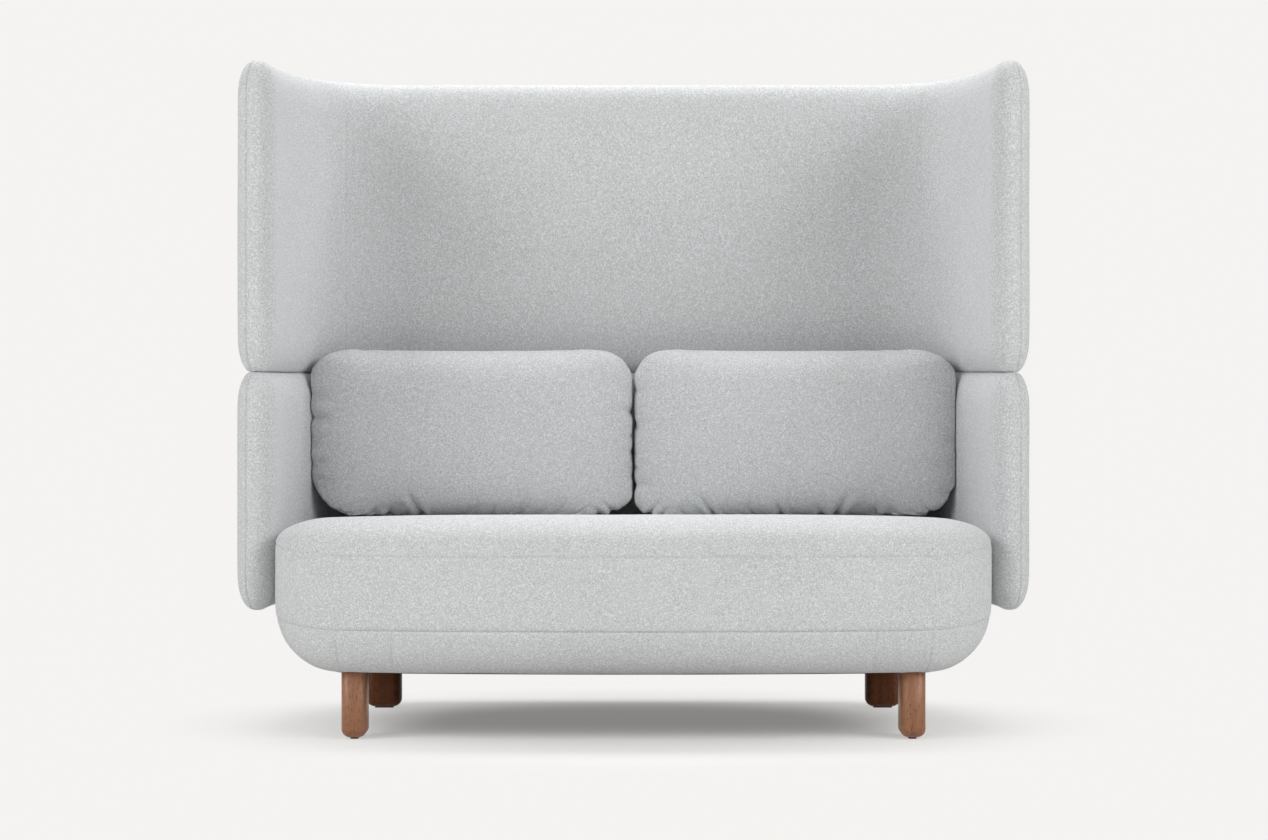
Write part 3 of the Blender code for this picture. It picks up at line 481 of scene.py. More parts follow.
def seat_mesh():
    """Thick seat block: its plan carried up ring by ring over the rounded underside and the crowned top."""
    bm = bmesh.new()
    directions = seat_wire(bm)
    wire = list(directions)
    plan_points = {vert: vert.co.copy() for vert in wire}
    current = {vert: vert for vert in wire}
    edges = bm.edges[:]
    columns = []
    for index, rule in enumerate(seat_rings()):
        if index:
            edges, current = next_ring(bm, edges, current)
        for key, vert in current.items():
            inset, z = rule(plan_points[key], directions[key])
            vert.co = plan_points[key] - directions[key] * inset
            vert.co.z = z
        columns.append(current)
    lower = BASE_STEPS
    upper = lower + len(BORDER_SHARES) - 1
    for index in (lower, upper):
        mark_seam(columns[index].values())
    front = [key for key in wire if plan_points[key].y < SEAT_CREST_Y]
    for dart in DARTS:
        for side in (-1, 1):
            key = min(front, key=lambda k: abs(plan_points[k].x - side * dart))
            mark_seam([ring[key] for ring in columns[1 : lower + 1]])
    cap_rings(bm, list(current.values()), CROWN_SHARES, crown_height)
    cap_rings(bm, [columns[0][key] for key in wire], FLOOR_SHARES, lambda place, share: UNDER_Z)
    bmesh.ops.recalc_face_normals(bm, faces=bm.faces)
    sew(bm, seat_seam)
    return bm


def seat_seam(point):
    """How tight a seat seam is drawn: firm below the border, lighter above it and in the darts."""
    if point.z < DARTS_BELOW:
        return DART_PULL
    return UPPER_PULL if point.z > UPPER_ABOVE else LOWER_PULL


def crown_height(place, share):
    """Height of the seat's top: domed at the front, plain at the back where the cushions stand."""
    return crown_z(place.y) + 0.0004 - TOP_DOME * share**3 * (place.y < 0.1)


def cap_rings(bm, row, shares, height):
    """Draw a ring in towards its middle, step by step, and close it with one vertex."""
    middle = sum((vert.co for vert in row), Vector()) / len(row)
    start = {vert: vert.co.copy() for vert in row}
    linked = dict.fromkeys(edge for vert in row for edge in vert.link_edges)
    edges = [edge for edge in linked if all(vert in start for vert in edge.verts)]
    current = dict(zip(row, row))
    for share in shares:
        edges, current = next_ring(bm, edges, current)
        for key, vert in current.items():
            place = middle + (start[key] - middle) * share
            vert.co = Vector((place.x, place.y, height(place, share)))
    last = verts_of(bmesh.ops.extrude_edge_only(bm, edges=edges)["geom"])
    centre = Vector((middle.x, middle.y, height(middle, 0.0)))
    bmesh.ops.pointmerge(bm, verts=last, merge_co=centre)


# Cushions: height of the top, thickness, corners, bows of the edges, and bend of the outer end
CUSHION_TOP = 0.768
CUSHION_THICKNESS = 0.176
CUSHION_CORNER = 0.074
SIDE_BOW = 0.015
EDGE_BOW = 0.022
CURL = 0.105
CURL_START = 0.45
# Start of the upper part as a share of the half height, and height of the part that only a lift shows
UPPER_START = 0.3
UNDER_HEIGHT = 0.035
# How far a cover reaches from the sofa's axis, past the end of its solid and above it
COVER_INNER = 0.0020
COVER_OUTER = 0.009
COVER_TOP = 0.0005
ZIP_OUT = Vector((0, 1, -1)).normalized()


class CushionPlace:
    """Where a loose cushion stands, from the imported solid."""

    def __init__(self, name):
        self.low, self.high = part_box(name + "_cushion_cover")
        chain_low, chain_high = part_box(name + "_zip_chain")
        plan = Plan()
        wall_y = plan.back_y - plan.inset
        self.side = -1 if name == "left" else 1
        self.centre = Vector(((self.low.x + self.high.x) / 2, wall_y - CUSHION_THICKNESS / 2, 0))
        self.centre.z = (CUSHION_TOP + crown_z(self.centre.y) + GAP) / 2
        self.half_x = (self.high.x - self.low.x) / 2
        self.half_z = CUSHION_TOP - self.centre.z
        self.zip_middle = (chain_low + chain_high) / 2
        self.inner = COVER_INNER
        self.outer = max(abs(self.low.x), abs(self.high.x)) + COVER_OUTER
        self.top = self.high.z + COVER_TOP

    def shares(self, co):
        """Place across and up the cushion, as shares of its half width and half height."""
        return (co.x - self.centre.x) / self.half_x, (co.z - self.centre.z) / self.half_z

    def curl(self, x):
        """How far the wall's corner pushes the outer end forward, at a share of the half width."""
        share = max(self.side * x - CURL_START, 0.0) / (1 - CURL_START)
        return CURL * min(share, 1.1) ** 2

    def is_upper(self, co):
        """Whether a place is in the upper part, where the cover lies smooth."""
        return co.z > self.centre.z + UPPER_START * self.half_z

    def is_under(self, co):
        """Whether a place is on the underside or the lower back, which only a lifted cushion shows."""
        middle = self.centre.y - self.curl(self.shares(co)[0])
        return co.z < crown_z(co.y) + UNDER_HEIGHT and co.y > middle


def box_mesh(low, high, radius, segments, accept=lambda edge: True):
    """A block whose edges are rounded where a test accepts them."""
    bm = bmesh.new()
    bmesh.ops.create_cube(bm, size=1.0)
    bmesh.ops.scale(bm, vec=high - low, verts=bm.verts)
    bmesh.ops.translate(bm, vec=(low + high) / 2, verts=bm.verts)
    rounded(bm, [edge for edge in bm.edges if accept(edge)], radius, segments)
    return bm


def span(edge, axis):
    """Length of an edge along one axis."""
    first, second = edge.verts
    return abs(first.co[axis] - second.co[axis])


def cushion_start(place):
    """Rounded slab from which a cushion swells."""
    half = Vector((place.half_x, CUSHION_THICKNESS * 0.4, place.half_z * 1.06))
    low, high = place.centre - half, place.centre + half
    bm = box_mesh(low, high, CUSHION_CORNER, 8, lambda edge: span(edge, 1) > half.y)
    rounded(bm, [edge for edge in bm.edges if span(edge, 1) < GAP], half.y * 0.85, 5)
    bmesh.ops.recalc_face_normals(bm, faces=bm.faces)
    return bm


def bowed(piece, place):
    """Bow a cushion's edges outwards, as its cloth is cut, and bend its outer end forward."""
    for vert in piece.data.vertices:
        x, z = place.shares(vert.co)
        vert.co.x += x * SIDE_BOW * (1 - min(z * z, 1.0))
        vert.co.z += z * EDGE_BOW * (1 - min(x * x, 1.0))
        vert.co.y -= place.curl(x)


def remeshed(piece, size):
    """Even quads all over a closed piece."""
    piece.data.remesh_voxel_size = size
    bpy.context.view_layer.objects.active = piece
    with bpy.context.temp_override(object=piece, active_object=piece):
        bpy.ops.object.voxel_remesh()


def finer(piece):
    """Divide every quad of a piece into four smooth ones, and keep them."""
    subdivision(piece)
    depsgraph = bpy.context.evaluated_depsgraph_get()
    mesh = bpy.data.meshes.new_from_object(piece.evaluated_get(depsgraph))
    piece.modifiers.clear()
    piece.data = mesh


# Edge seam: half width, and where it starts and how fast it draws up, as shares of the half size
EDGE_SEAM = 0.030
EDGE_START = 0.85
EDGE_FADE = 0.1
CLOTH = {
    "quality": 6,
    "mass": 0.01,
    "tension_stiffness": 12,
    "compression_stiffness": 12,
    "shear_stiffness": 4,
    "bending_stiffness": 0.02,
    "air_damping": 2.0,
    "use_pressure": True,
    "shrink_min": 0.0,
    "shrink_max": 0.08,
}


def plumped(piece, place):
    """Let cloth swell under pressure while its edge seam draws up, and keep the result in the mesh."""
    s = sizes()
    gather = piece.vertex_groups.new(name="edge_seam")
    for vert in piece.data.vertices:
        x, z = place.shares(vert.co)
        rim = max(abs(x), abs(z))
        depth = abs(vert.co.y - place.centre.y + place.curl(x))
        weight = max(0.0, 1 - depth / EDGE_SEAM) * max(0.0, min(1.0, (rim - EDGE_START) / EDGE_FADE))
        if weight > 0:
            gather.add([vert.index], weight, "REPLACE")
    modifier = piece.modifiers.new("plump", "CLOTH")
    cloth = modifier.settings
    for key, value in CLOTH.items():
        setattr(cloth, key, value)
    cloth.uniform_pressure_force = s.cushion_pressure
    cloth.vertex_group_shrink = gather.name
    cloth.effector_weights.gravity = 0.0
    modifier.collision_settings.use_collision = False
    modifier.point_cache.frame_start = 1
    modifier.point_cache.frame_end = s.cushion_frames
    scene = bpy.context.scene
    for number in range(1, s.cushion_frames + 1):
        scene.frame_set(number)
    depsgraph = bpy.context.evaluated_depsgraph_get()
    swollen = piece.evaluated_get(depsgraph).to_mesh()
    ends = [vert.co.copy() for vert in swollen.vertices]
    piece.modifiers.remove(modifier)
    scene.frame_set(1)
    for vert, end in zip(piece.data.vertices, ends):
        vert.co = end


# Puckers along a cushion's lower edge: place, depth, height and lean
CREASES = {
    "left": (
        (-0.446, 0.013, 0.062, -0.60),
        (-0.516, 0.006, 0.030, -0.30),
        (-0.548, 0.004, 0.026, 0.20),
        (-0.300, 0.004, 0.030, 0.20),
        (-0.235, 0.003, 0.024, -0.30),
        (-0.072, 0.008, 0.030, -0.20),
        (-0.034, 0.011, 0.045, -0.90),
    ),
    "right": (
        (0.030, 0.011, 0.045, 0.70),
        (0.060, 0.006, 0.026, 0.30),
        (0.176, 0.011, 0.060, -0.80),
        (0.318, 0.009, 0.042, -0.50),
        (0.404, 0.007, 0.034, -0.60),
        (0.428, 0.011, 0.060, 0.50),
        (0.540, 0.004, 0.026, 0.20),
        (0.640, 0.008, 0.040, -0.90),
    ),
}
CREASE_WIDTH = 0.0045
CREASE_REACH = 0.06
# Tucks down a cushion's sides: height as a share of the half height, and depth
SIDE_TUCKS = {
    "left": {
        "outer": ((0.20, 0.010), (0.46, 0.004), (-0.34, 0.005)),
        "inner": ((0.26, 0.004), (-0.22, 0.003)),
    },
    "right": {
        "outer": ((-0.10, 0.003), (-0.70, 0.005)),
        "inner": ((0.52, 0.003), (0.12, 0.004), (-0.62, 0.005)),
    },
}
TUCK_WIDTH = 0.009
TUCK_START = 0.86
TUCK_FADE = 0.1


def fold(off, width):
    """Section of a pucker: a sharp valley between two soft ridges."""
    valley = math.exp(-abs(off) / width)
    ridges = math.exp(-(((abs(off) - 2.6 * width) / (1.5 * width)) ** 2))
    return valley - 0.4 * ridges


def fitted(piece, place):
    """Scale a cushion to fill the room that it has: its width, its height and its thickness."""
    room_low = Vector((place.low.x + GAP, place.low.y, crown_z(place.centre.y) - 0.010))
    room_high = Vector((place.high.x - GAP, place.high.y, place.centre.z + place.half_z))
    points = [vert.co for vert in piece.data.vertices]
    low = Vector([min(point[axis] for point in points) for axis in range(3)])
    high = Vector([max(point[axis] for point in points) for axis in range(3)])
    for vert in piece.data.vertices:
        for axis in range(3):
            share = (vert.co[axis] - low[axis]) / (high[axis] - low[axis])
            vert.co[axis] = room_low[axis] + (room_high[axis] - room_low[axis]) * share


# Corners of a cushion's outline, top and foot: how far each reaches along the edge and up the side
CORNERS = {
    "left": {"outer": ((0.076, 0.074), (0.088, 0.135)), "inner": ((0.074, 0.068), (0.110, 0.048))},
    "right": {"outer": ((0.082, 0.080), (0.080, 0.110)), "inner": ((0.064, 0.064), (0.060, 0.034))},
}
OUTLINE_ROWS = 40
# Cut of a cushion: span and dip of its top, its outer end's turn forward, and depth and fullness of its face
TOP_SPAN = 0.75
TOP_DIP = 0.003
END_START = 0.7
END_FORWARD = 0.022
FACE_DEPTH = 0.77
FACE_FULLNESS = 1.7


class Outline:
    """The two ends of a cushion along one axis, row by row along another."""

    def __init__(self, points, along, across):
        self.low = min(point[along] for point in points)
        self.step = (max(point[along] for point in points) - self.low) / OUTLINE_ROWS
        rows = [[] for _ in range(OUTLINE_ROWS + 1)]
        for point in points:
            rows[round((point[along] - self.low) / self.step)].append(point[across])
        self.first = self.evened([min(row) for row in rows])
        self.last = self.evened([max(row) for row in rows])

    def evened(self, values):
        inner = [(a + 2 * b + c) / 4 for a, b, c in zip(values, values[1:], values[2:])]
        return [values[0], *inner, values[-1]]

    def at(self, value):
        place = max(0.0, min((value - self.low) / self.step, OUTLINE_ROWS - 0.001))
        row = int(place)
        part = place - row
        return [line[row] * (1 - part) + line[row + 1] * part for line in (self.first, self.last)]


def corner_inset(corner, distance):
    """How far a rounded corner draws a side in, at a distance from its end."""
    across, up = corner
    share = max(0.0, min(1.0 - distance / up, 1.0))
    return across * (1 - math.sqrt(1 - share * share))


def eased(piece, accept, times):
    """Ease small folds out of the part of a cushion that a test accepts."""
    bm = bmesh.new()
    bm.from_mesh(piece.data)
    chosen = [vert for vert in bm.verts if accept(vert.co)]
    for _ in range(times):
        bmesh.ops.smooth_vert(
            bm, verts=chosen, factor=0.5, use_axis_x=True, use_axis_y=True, use_axis_z=True
        )
    bm.to_mesh(piece.data)
    bm.free()


def cut_out(piece, place, name):
    """Bring a swollen cushion's outline to the cut of its cover: level top, straight sides, four corners."""
    points = [vert.co for vert in piece.data.vertices]
    edge = Outline(points, 0, 2)
    for co in points:
        across = max(-TOP_SPAN, min(place.shares(co)[0], TOP_SPAN))
        first, last = edge.at(place.centre.x + across * place.half_x)
        goal = place.top - TOP_DIP * (1 - (across / TOP_SPAN) ** 2)
        co.z += (co.z - first) / (last - first) * (goal - last)
    sides = Outline(points, 2, 0)
    feet = {"outer": crown_z(place.centre.y - CURL), "inner": crown_z(place.centre.y)}

    def inset(end, z):
        top, foot = CORNERS[name][end]
        return corner_inset(top, place.top - z) + corner_inset(foot, z - feet[end])

    for co in points:
        ends = sides.at(co.z)
        inner, outer = ends if place.side > 0 else reversed(ends)
        share = max(0.0, min((co.x - inner) / (outer - inner), 1.0))
        goal_outer = place.side * (place.outer - inset("outer", co.z))
        goal_inner = place.side * (place.inner + inset("inner", co.z))
        co.x = goal_inner + share * (goal_outer - goal_inner)
        co.y -= END_FORWARD * (max(0.0, share - END_START) / (1 - END_START)) ** 2


def filled_out(piece):
    """Flatten a cushion's front, so that its face turns away more quickly near the edges."""
    points = [vert.co for vert in piece.data.vertices]
    sections = Outline(points, 0, 1)
    for co in points:
        front, back = sections.at(co.x)
        middle = (front + back) / 2
        if co.y < middle:
            share = min((middle - co.y) / (middle - front), 1.0)
            co.y = middle - FACE_DEPTH * (middle - front) * (1 - (1 - share) ** FACE_FULLNESS)


def gathered(piece, place, name):
    """Puckers along the lower front edge, and tucks down both side edges."""
    foot = crown_z(place.centre.y)

    def amount(vert):
        local = vert.co - place.centre
        above = max(vert.co.z - foot, 0.0)
        move = 0.0
        if vert.normal.y < 0.2:
            for x, depth, height, lean in CREASES[name]:
                off = vert.co.x - x - lean * above
                if above < height and abs(off) < CREASE_REACH:
                    rise = above / height
                    move += depth * (1 - rise) ** 1.2 * fold(off, CREASE_WIDTH * (1 + rise))
        reach = abs(local.x) / place.half_x
        if reach > TUCK_START:
            end = "outer" if local.x * place.side > 0 else "inner"
            fade = min(1.0, (reach - TUCK_START) / TUCK_FADE)
            for height, depth in SIDE_TUCKS[name][end]:
                move += depth * fade * fold(local.z - height * place.half_z, TUCK_WIDTH)
        return -move

    bm = bmesh.new()
    bm.from_mesh(piece.data)
    pushed(bm, amount)
    bm.to_mesh(piece.data)
    bm.free()


# Room that a cushion leaves: under the zip, above the seat, beside its twin and before the wall
ZIP_SINK = 0.0004
SEAT_LIFT = 0.0012
TWIN_GAP = 0.0022
WALL_GAP = 0.003


def settle(piece, place):
    """Keep a cushion in its own room: on the seat, off the wall, off its twin, and flat at the zip."""
    plan = Plan()
    s = sizes()
    for vert in piece.data.vertices:
        co = vert.co
        beyond = (co - place.zip_middle).dot(ZIP_OUT) + ZIP_SINK
        if beyond > 0:
            co -= ZIP_OUT * beyond
        co.z = max(co.z, crown_z(co.y) + SEAT_LIFT)
        co.y = min(co.y, plan.back_y - plan.inset)
        co.x = place.side * max(place.side * co.x, TWIN_GAP)
        centre, room = plan.corner_centre.xy, s.corner
        away = Vector((abs(co.x), co.y)) - centre
        if away.x < 0:
            continue
        if away.y < away.x * math.tan(s.wing_turn):
            centre, room = plan.wing_centre.xy, plan.wing_radius
            away = Vector((abs(co.x), co.y)) - centre
        room -= plan.half + WALL_GAP
        if away.length > room:
            end = centre + away * (room / away.length)
            co.x, co.y = place.side * end.x, end.y


LEG_ROUND = 0.018
FOOT_ROUND = 0.0165


def leg_mesh(name):
    """Leg with softly rounded long edges and foot."""
    low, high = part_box(name)
    bm = box_mesh(low, high, LEG_ROUND, 8, lambda edge: span(edge, 2) > 0.05)
    foot = [edge for edge in bm.edges if max(vert.co.z for vert in edge.verts) < low.z + GAP]
    rounded(bm, foot, FOOT_ROUND, 7)
    bmesh.ops.recalc_face_normals(bm, faces=bm.faces)
    return bm


def feed(tree, socket, value):
    """Give an input a value, or a link where the value is another node's socket."""
    if isinstance(value, bpy.types.NodeSocket):
        tree.links.new(value, socket)
    else:
        socket.default_value = value


def node(tree, kind, **values):
    """A node with its settings and its inputs, which are values or other nodes' sockets."""
    made = tree.nodes.new(kind)
    for key, value in values.items():
        label = key.replace("_", " ")
        if label in made.inputs:
            feed(tree, made.inputs[label], value)
        else:
            setattr(made, key, value)
    return made


def mixed(tree, factor, first, second):
    """Mix two colours by a factor; each of the three is a value or a socket."""
    mix = node(tree, "ShaderNodeMix", data_type="RGBA", Factor=factor)
    feed(tree, mix.inputs[6], first)
    feed(tree, mix.inputs[7], second)
    return mix.outputs[2]


def ranged(tree, value, low, high, out_low=0.0, out_high=1.0, curve="LINEAR"):
    """Map a value socket from one range to another."""
    made = node(tree, "ShaderNodeMapRange", interpolation_type=curve, Value=value)
    for label, limit in (("From Min", low), ("From Max", high), ("To Min", out_low), ("To Max", out_high)):
        feed(tree, made.inputs[label], limit)
    return made.outputs["Result"]


def maths(tree, operation, first, second):
    made = node(tree, "ShaderNodeMath", operation=operation)
    feed(tree, made.inputs[0], first)
    feed(tree, made.inputs[1], second)
    return made.outputs["Value"]


def noise_node(tree, vector, scale, detail, roughness=0.5, stretch=None):
    """Noise on a vector socket, stretched by a Mapping node where asked."""
    if stretch:
        vector = node(tree, "ShaderNodeMapping", Scale=stretch, Vector=vector).outputs["Vector"]
    made = node(tree, "ShaderNodeTexNoise", Scale=scale, Detail=detail, Roughness=roughness, Vector=vector)
    return made.outputs["Fac"]


def melange_cloth(tree, given):
    """Melange cloth: ground, dark flecks, pale fibres, and a felted weave for the bump."""
    vector = given["Vector"]
    warp = noise_node(tree, vector, 520.0, 1.0, 0.6, (1.0, 1.0, 0.45))
    weft = noise_node(tree, vector, 520.0, 1.0, 0.6, (0.45, 0.45, 1.0))
    tuft = noise_node(tree, vector, 430.0, 1.0, 0.55)
    cloud = noise_node(tree, vector, 4.0, 2.0)
    weave = maths(tree, "MULTIPLY", maths(tree, "ADD", warp, weft), 0.5)
    pale = ranged(tree, weave, 0.46, 0.62)
    dark = ranged(tree, tuft, 0.50, 0.70)
    worn = ranged(tree, cloud, 0.35, 0.65, 0.0, 0.07)
    colour = mixed(tree, maths(tree, "MULTIPLY", pale, 0.75), given["Ground"], given["Bright"])
    colour = mixed(tree, maths(tree, "MULTIPLY", dark, 0.60), colour, given["Fleck"])
    colour = mixed(tree, worn, colour, given["Bright"])
    height = maths(tree, "SUBTRACT", weave, maths(tree, "MULTIPLY", tuft, 0.6))
    return colour, height, ranged(tree, weave, 0.3, 0.7, 0.98, 0.86)


def wood_grain(tree, given):
    """Wood: long grain, fine pores and a slow change of tone."""
    vector, grain = given["Vector"], given["Grain"]
    bands = noise_node(tree, vector, 60.0, 3.0, 0.6, (1.0, 1.0, 0.07))
    pores = noise_node(tree, vector, 520.0, 1.0, 0.5, (1.0, 1.0, 0.22))
    tone = noise_node(tree, vector, 9.0, 1.0)
    colour = mixed(tree, ranged(tree, bands, 0.42, 0.68, 0.0, 0.45), given["Ground"], grain)
    colour = mixed(tree, ranged(tree, pores, 0.62, 0.68, 0.0, 0.9), colour, grain)
    colour = mixed(tree, ranged(tree, tone, 0.3, 0.7, 0.0, 0.18), colour, grain)
    return colour, maths(tree, "SUBTRACT", bands, pores), ranged(tree, pores, 0.4, 0.7, 0.38, 0.6)


def plain_finish(tree, given):
    """Plain finish with a slight change of tone and roughness, for metal, felt and black cloth."""
    speckle = noise_node(tree, given["Vector"], given["Scale"], 3.0)
    colour = mixed(tree, ranged(tree, speckle, 0.35, 0.7), given["Ground"], given["Change"])
    return colour, speckle, ranged(tree, speckle, 0.0, 1.0, given["Low"], given["High"])


def pattern_group(pattern, values):
    """The node group that a pattern fills: vector, colours and numbers in; colour, height, roughness out."""
    name = pattern.__name__
    if name in bpy.data.node_groups:
        return bpy.data.node_groups[name]
    tree = bpy.data.node_groups.new(name, "ShaderNodeTree")
    sockets = [("INPUT", "Vector", "Vector")]
    for key, value in values.items():
        sockets.append(("INPUT", key, "Color" if hasattr(value, "__len__") else "Float"))
    sockets += [("OUTPUT", "Color", "Color"), ("OUTPUT", "Height", "Float"), ("OUTPUT", "Roughness", "Float")]
    for way, label, kind in sockets:
        tree.interface.new_socket(label, in_out=way, socket_type="NodeSocket" + kind)
    given = tree.nodes.new("NodeGroupInput").outputs
    results = tree.nodes.new("NodeGroupOutput").inputs
    for result, socket in zip(pattern(tree, given), results):
        tree.links.new(result, socket)
    return tree


def finish(name, pattern, values, bump, distance, turn=None, **looks):
    """A material whose colour, roughness and bump come from one of the patterns."""
    material = bpy.data.materials.get(name)
    if material:
        return material
    material = bpy.data.materials.new(name)
    material.use_nodes = True
    tree = material.node_tree
    shader = tree.nodes["Principled BSDF"]
    for key, value in looks.items():
        shader.inputs[key.replace("_", " ")].default_value = value
    place = node(tree, "ShaderNodeTexCoord").outputs["Object"]
    if turn:
        place = node(tree, "ShaderNodeMapping", Rotation=turn, Vector=place).outputs["Vector"]
    group = node(tree, "ShaderNodeGroup", node_tree=pattern_group(pattern, values))
    tree.links.new(place, group.inputs["Vector"])
    for key, value in values.items():
        group.inputs[key].default_value = (*value, 1.0) if hasattr(value, "__len__") else value
    relief = node(tree, "ShaderNodeBump", Strength=bump, Distance=distance, Height=group.outputs["Height"])
    tree.links.new(group.outputs["Color"], shader.inputs["Base Color"])
    tree.links.new(group.outputs["Roughness"], shader.inputs["Roughness"])
    tree.links.new(relief.outputs["Normal"], shader.inputs["Normal"])
    return material


# Legs: tone, depth of the colour and shine; the rear legs' lower tone and greater depth are painted shade, a
# darker copy of the same wood for the shadow under the seat
LEG_WOOD_AND_REAR_SHADE = {"front": (0.92, 1.0, 0.8), "rear": (0.70, 1.3, 0.3)}
# Plain finishes: ground, change, scale, least and greatest roughness, and bump
PLAIN = {
    "glide_felt": ((0.30, 0.19, 0.14), (0.20, 0.12, 0.09), 900.0, 0.9, 1.0, 0.4),
    "dust_cloth_black": ((0.020, 0.020, 0.021), (0.034, 0.034, 0.034), 700.0, 0.9, 1.0, 0.3),
    "webbing_band": ((0.035, 0.035, 0.036), (0.07, 0.07, 0.07), 500.0, 0.7, 0.9, 0.4),
    "zip_tape_grey": ((0.40, 0.41, 0.41), (0.30, 0.31, 0.31), 900.0, 0.7, 0.9, 0.3),
}
PLAIN_RELIEF = 0.0004


def fabric():
    c = colours()
    values = {"Ground": c.fabric, "Fleck": c.fabric_fleck, "Bright": c.fabric_bright}
    looks = {"Specular_IOR_Level": 0.08, "Sheen_Weight": 0.04, "Sheen_Roughness": 0.6}
    return finish("melange_fabric", melange_cloth, values, 0.35, 0.0012, **looks)


def leg_wood(end):
    """Oiled wood; a greater depth makes the tone fuller as well as darker. The rear legs' lower tone and
    greater depth are painted shade.
    """
    c = colours()
    tone, depth, shine = LEG_WOOD_AND_REAR_SHADE[end]
    values = {
        "Ground": [tone * v**depth for v in c.leg],
        "Grain": [tone * v**depth for v in c.leg_dark],
    }
    looks = {"Coat_Weight": 0.12 * shine, "Coat_Roughness": 0.35, "Specular_IOR_Level": 0.5 * shine}
    return finish(end + "_leg_walnut", wood_grain, values, 0.12, 0.0006, **looks)


def plywood(name, turn):
    c = colours()
    return finish(name, wood_grain, {"Ground": c.ply, "Grain": c.ply_dark}, 0.1, 0.0005, turn)


def plain(name):
    *values, bump = PLAIN[name]
    values = dict(zip(("Ground", "Change", "Scale", "Low", "High"), values))
    return finish(name, plain_finish, values, bump, PLAIN_RELIEF)


def steel():
    c = colours().steel
    values = {"Ground": c, "Change": [v * 0.8 for v in c], "Scale": 260.0, "Low": 0.28, "High": 0.45}
    return finish("zinc_steel", plain_finish, values, 0.05, PLAIN_RELIEF, Metallic=1.0)


def dress(nodes, material):
    """Give CAD nodes a better material."""
    for name in nodes:
        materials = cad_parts[name].data.materials
        materials.clear()
        materials.append(material)


class SOFA_OT_walls(bpy.types.Operator):
    """Make the padded screen and the arm shell that it stands on"""

    bl_idname = "sofa.walls"
    bl_label = "Screen and arm shell"

    def execute(self, context):
        jobs = (
            ("screen", JOINT_Z + GAP, OUTER_HIGH.z, True, 3.1),
            ("arm_shell", JOINT_Z - GAP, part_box("arm_shell_outer_cover")[0].z, False, 8.4),
        )
        for name, joint_z, crest_z, seams, seed in jobs:
            bm = wall_mesh(joint_z, crest_z, seams)
            ripple(bm, 5.0, seed)
            piece = new_object(name + "_upholstery", bm, fabric())
            subdivision(piece)
            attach(piece, "sofa_frame")
            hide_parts(name + "_foam", name + "_inner_cover", name + "_outer_cover")
        return {"FINISHED"}


class SOFA_OT_seat(bpy.types.Operator):
    """Make the thick seat block with its seams"""

    bl_idname = "sofa.seat"
    bl_label = "Seat"

    def execute(self, context):
        bm = seat_mesh()
        ripple(bm, 6.0, 5.2)
        piece = new_object("seat_upholstery", bm, fabric())
        subdivision(piece)
        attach(piece, "sofa_frame")
        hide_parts("seat_foam", "seat_top_cover", "seat_border_cover", "seat_under_cover")
        return {"FINISHED"}


class SOFA_OT_cushions(bpy.types.Operator):
    """Make the two loose back cushions by letting cloth swell"""

    bl_idname = "sofa.cushions"
    bl_label = "Loose cushions"

    def execute(self, context):
        for name in ("left", "right"):
            place = CushionPlace(name)
            piece = new_object(name + "_cushion", cushion_start(place), fabric())
            remeshed(piece, sizes().cushion_voxel)
            bowed(piece, place)
            plumped(piece, place)
            eased(piece, place.is_upper, 8)
            fitted(piece, place)
            cut_out(piece, place, name)
            filled_out(piece)
            finer(piece)
            gathered(piece, place, name)
            settle(piece, place)
            eased(piece, place.is_under, 16)
            settle(piece, place)
            piece.data.shade_smooth()
            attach(piece, name + "_cushion")
            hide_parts(name + "_cushion_cover", name + "_cushion_filling")
        return {"FINISHED"}


class SOFA_OT_legs(bpy.types.Operator):
    """Make the four wooden legs"""

    bl_idname = "sofa.legs"
    bl_label = "Legs"

    def execute(self, context):
        for place in LEG_PLACES:
            # The rear legs take the darker copy of the wood, a painted shade
            wood = leg_wood(place.split("_")[0])
            piece = new_object("wooden_leg_" + place, leg_mesh("leg_" + place), wood)
            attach(piece, "sofa_frame")
            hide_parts("leg_" + place)
        dress(["glide_" + place for place in LEG_PLACES], plain("glide_felt"))
        return {"FINISHED"}


SHEET_THICKNESS = 0.0008
STRAPS = 6
STRAP_ROUND = 0.0008


class SOFA_OT_underside(bpy.types.Operator):
    """Make the black dust cloth and the webbing straps"""

    bl_idname = "sofa.underside"
    bl_label = "Underside and webbing"

    def execute(self, context):
        low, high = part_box("dust_cover")
        bm = bmesh.new()
        directions = seat_wire(bm)
        base_round = sizes().front_corner - BASE_CORNER
        for vert, normal in directions.items():
            vert.co -= normal * base_round * round_share(normal, BASE_FRONT_SHARE)
            vert.co.z = high.z - GAP
        bmesh.ops.contextual_create(bm, geom=bm.edges[:])
        bmesh.ops.recalc_face_normals(bm, faces=bm.faces)
        area = sum(face.calc_area() for face in bm.faces)
        piece = new_object("dust_cloth", bm, plain("dust_cloth_black"), False)
        thick = piece.modifiers.new("cloth", "SOLIDIFY")
        thick.thickness = SHEET_THICKNESS
        thick.offset = 0.0
        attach(piece, "sofa_frame")
        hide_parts("dust_cover")
        for number in range(1, STRAPS + 1):
            name = f"webbing_strap_{number}"
            bm = box_mesh(*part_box(name), STRAP_ROUND, 2)
            piece = new_object(f"elastic_webbing_{number}", bm, plain("webbing_band"))
            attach(piece, "sofa_frame")
            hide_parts(name)
        return {"FINISHED"}


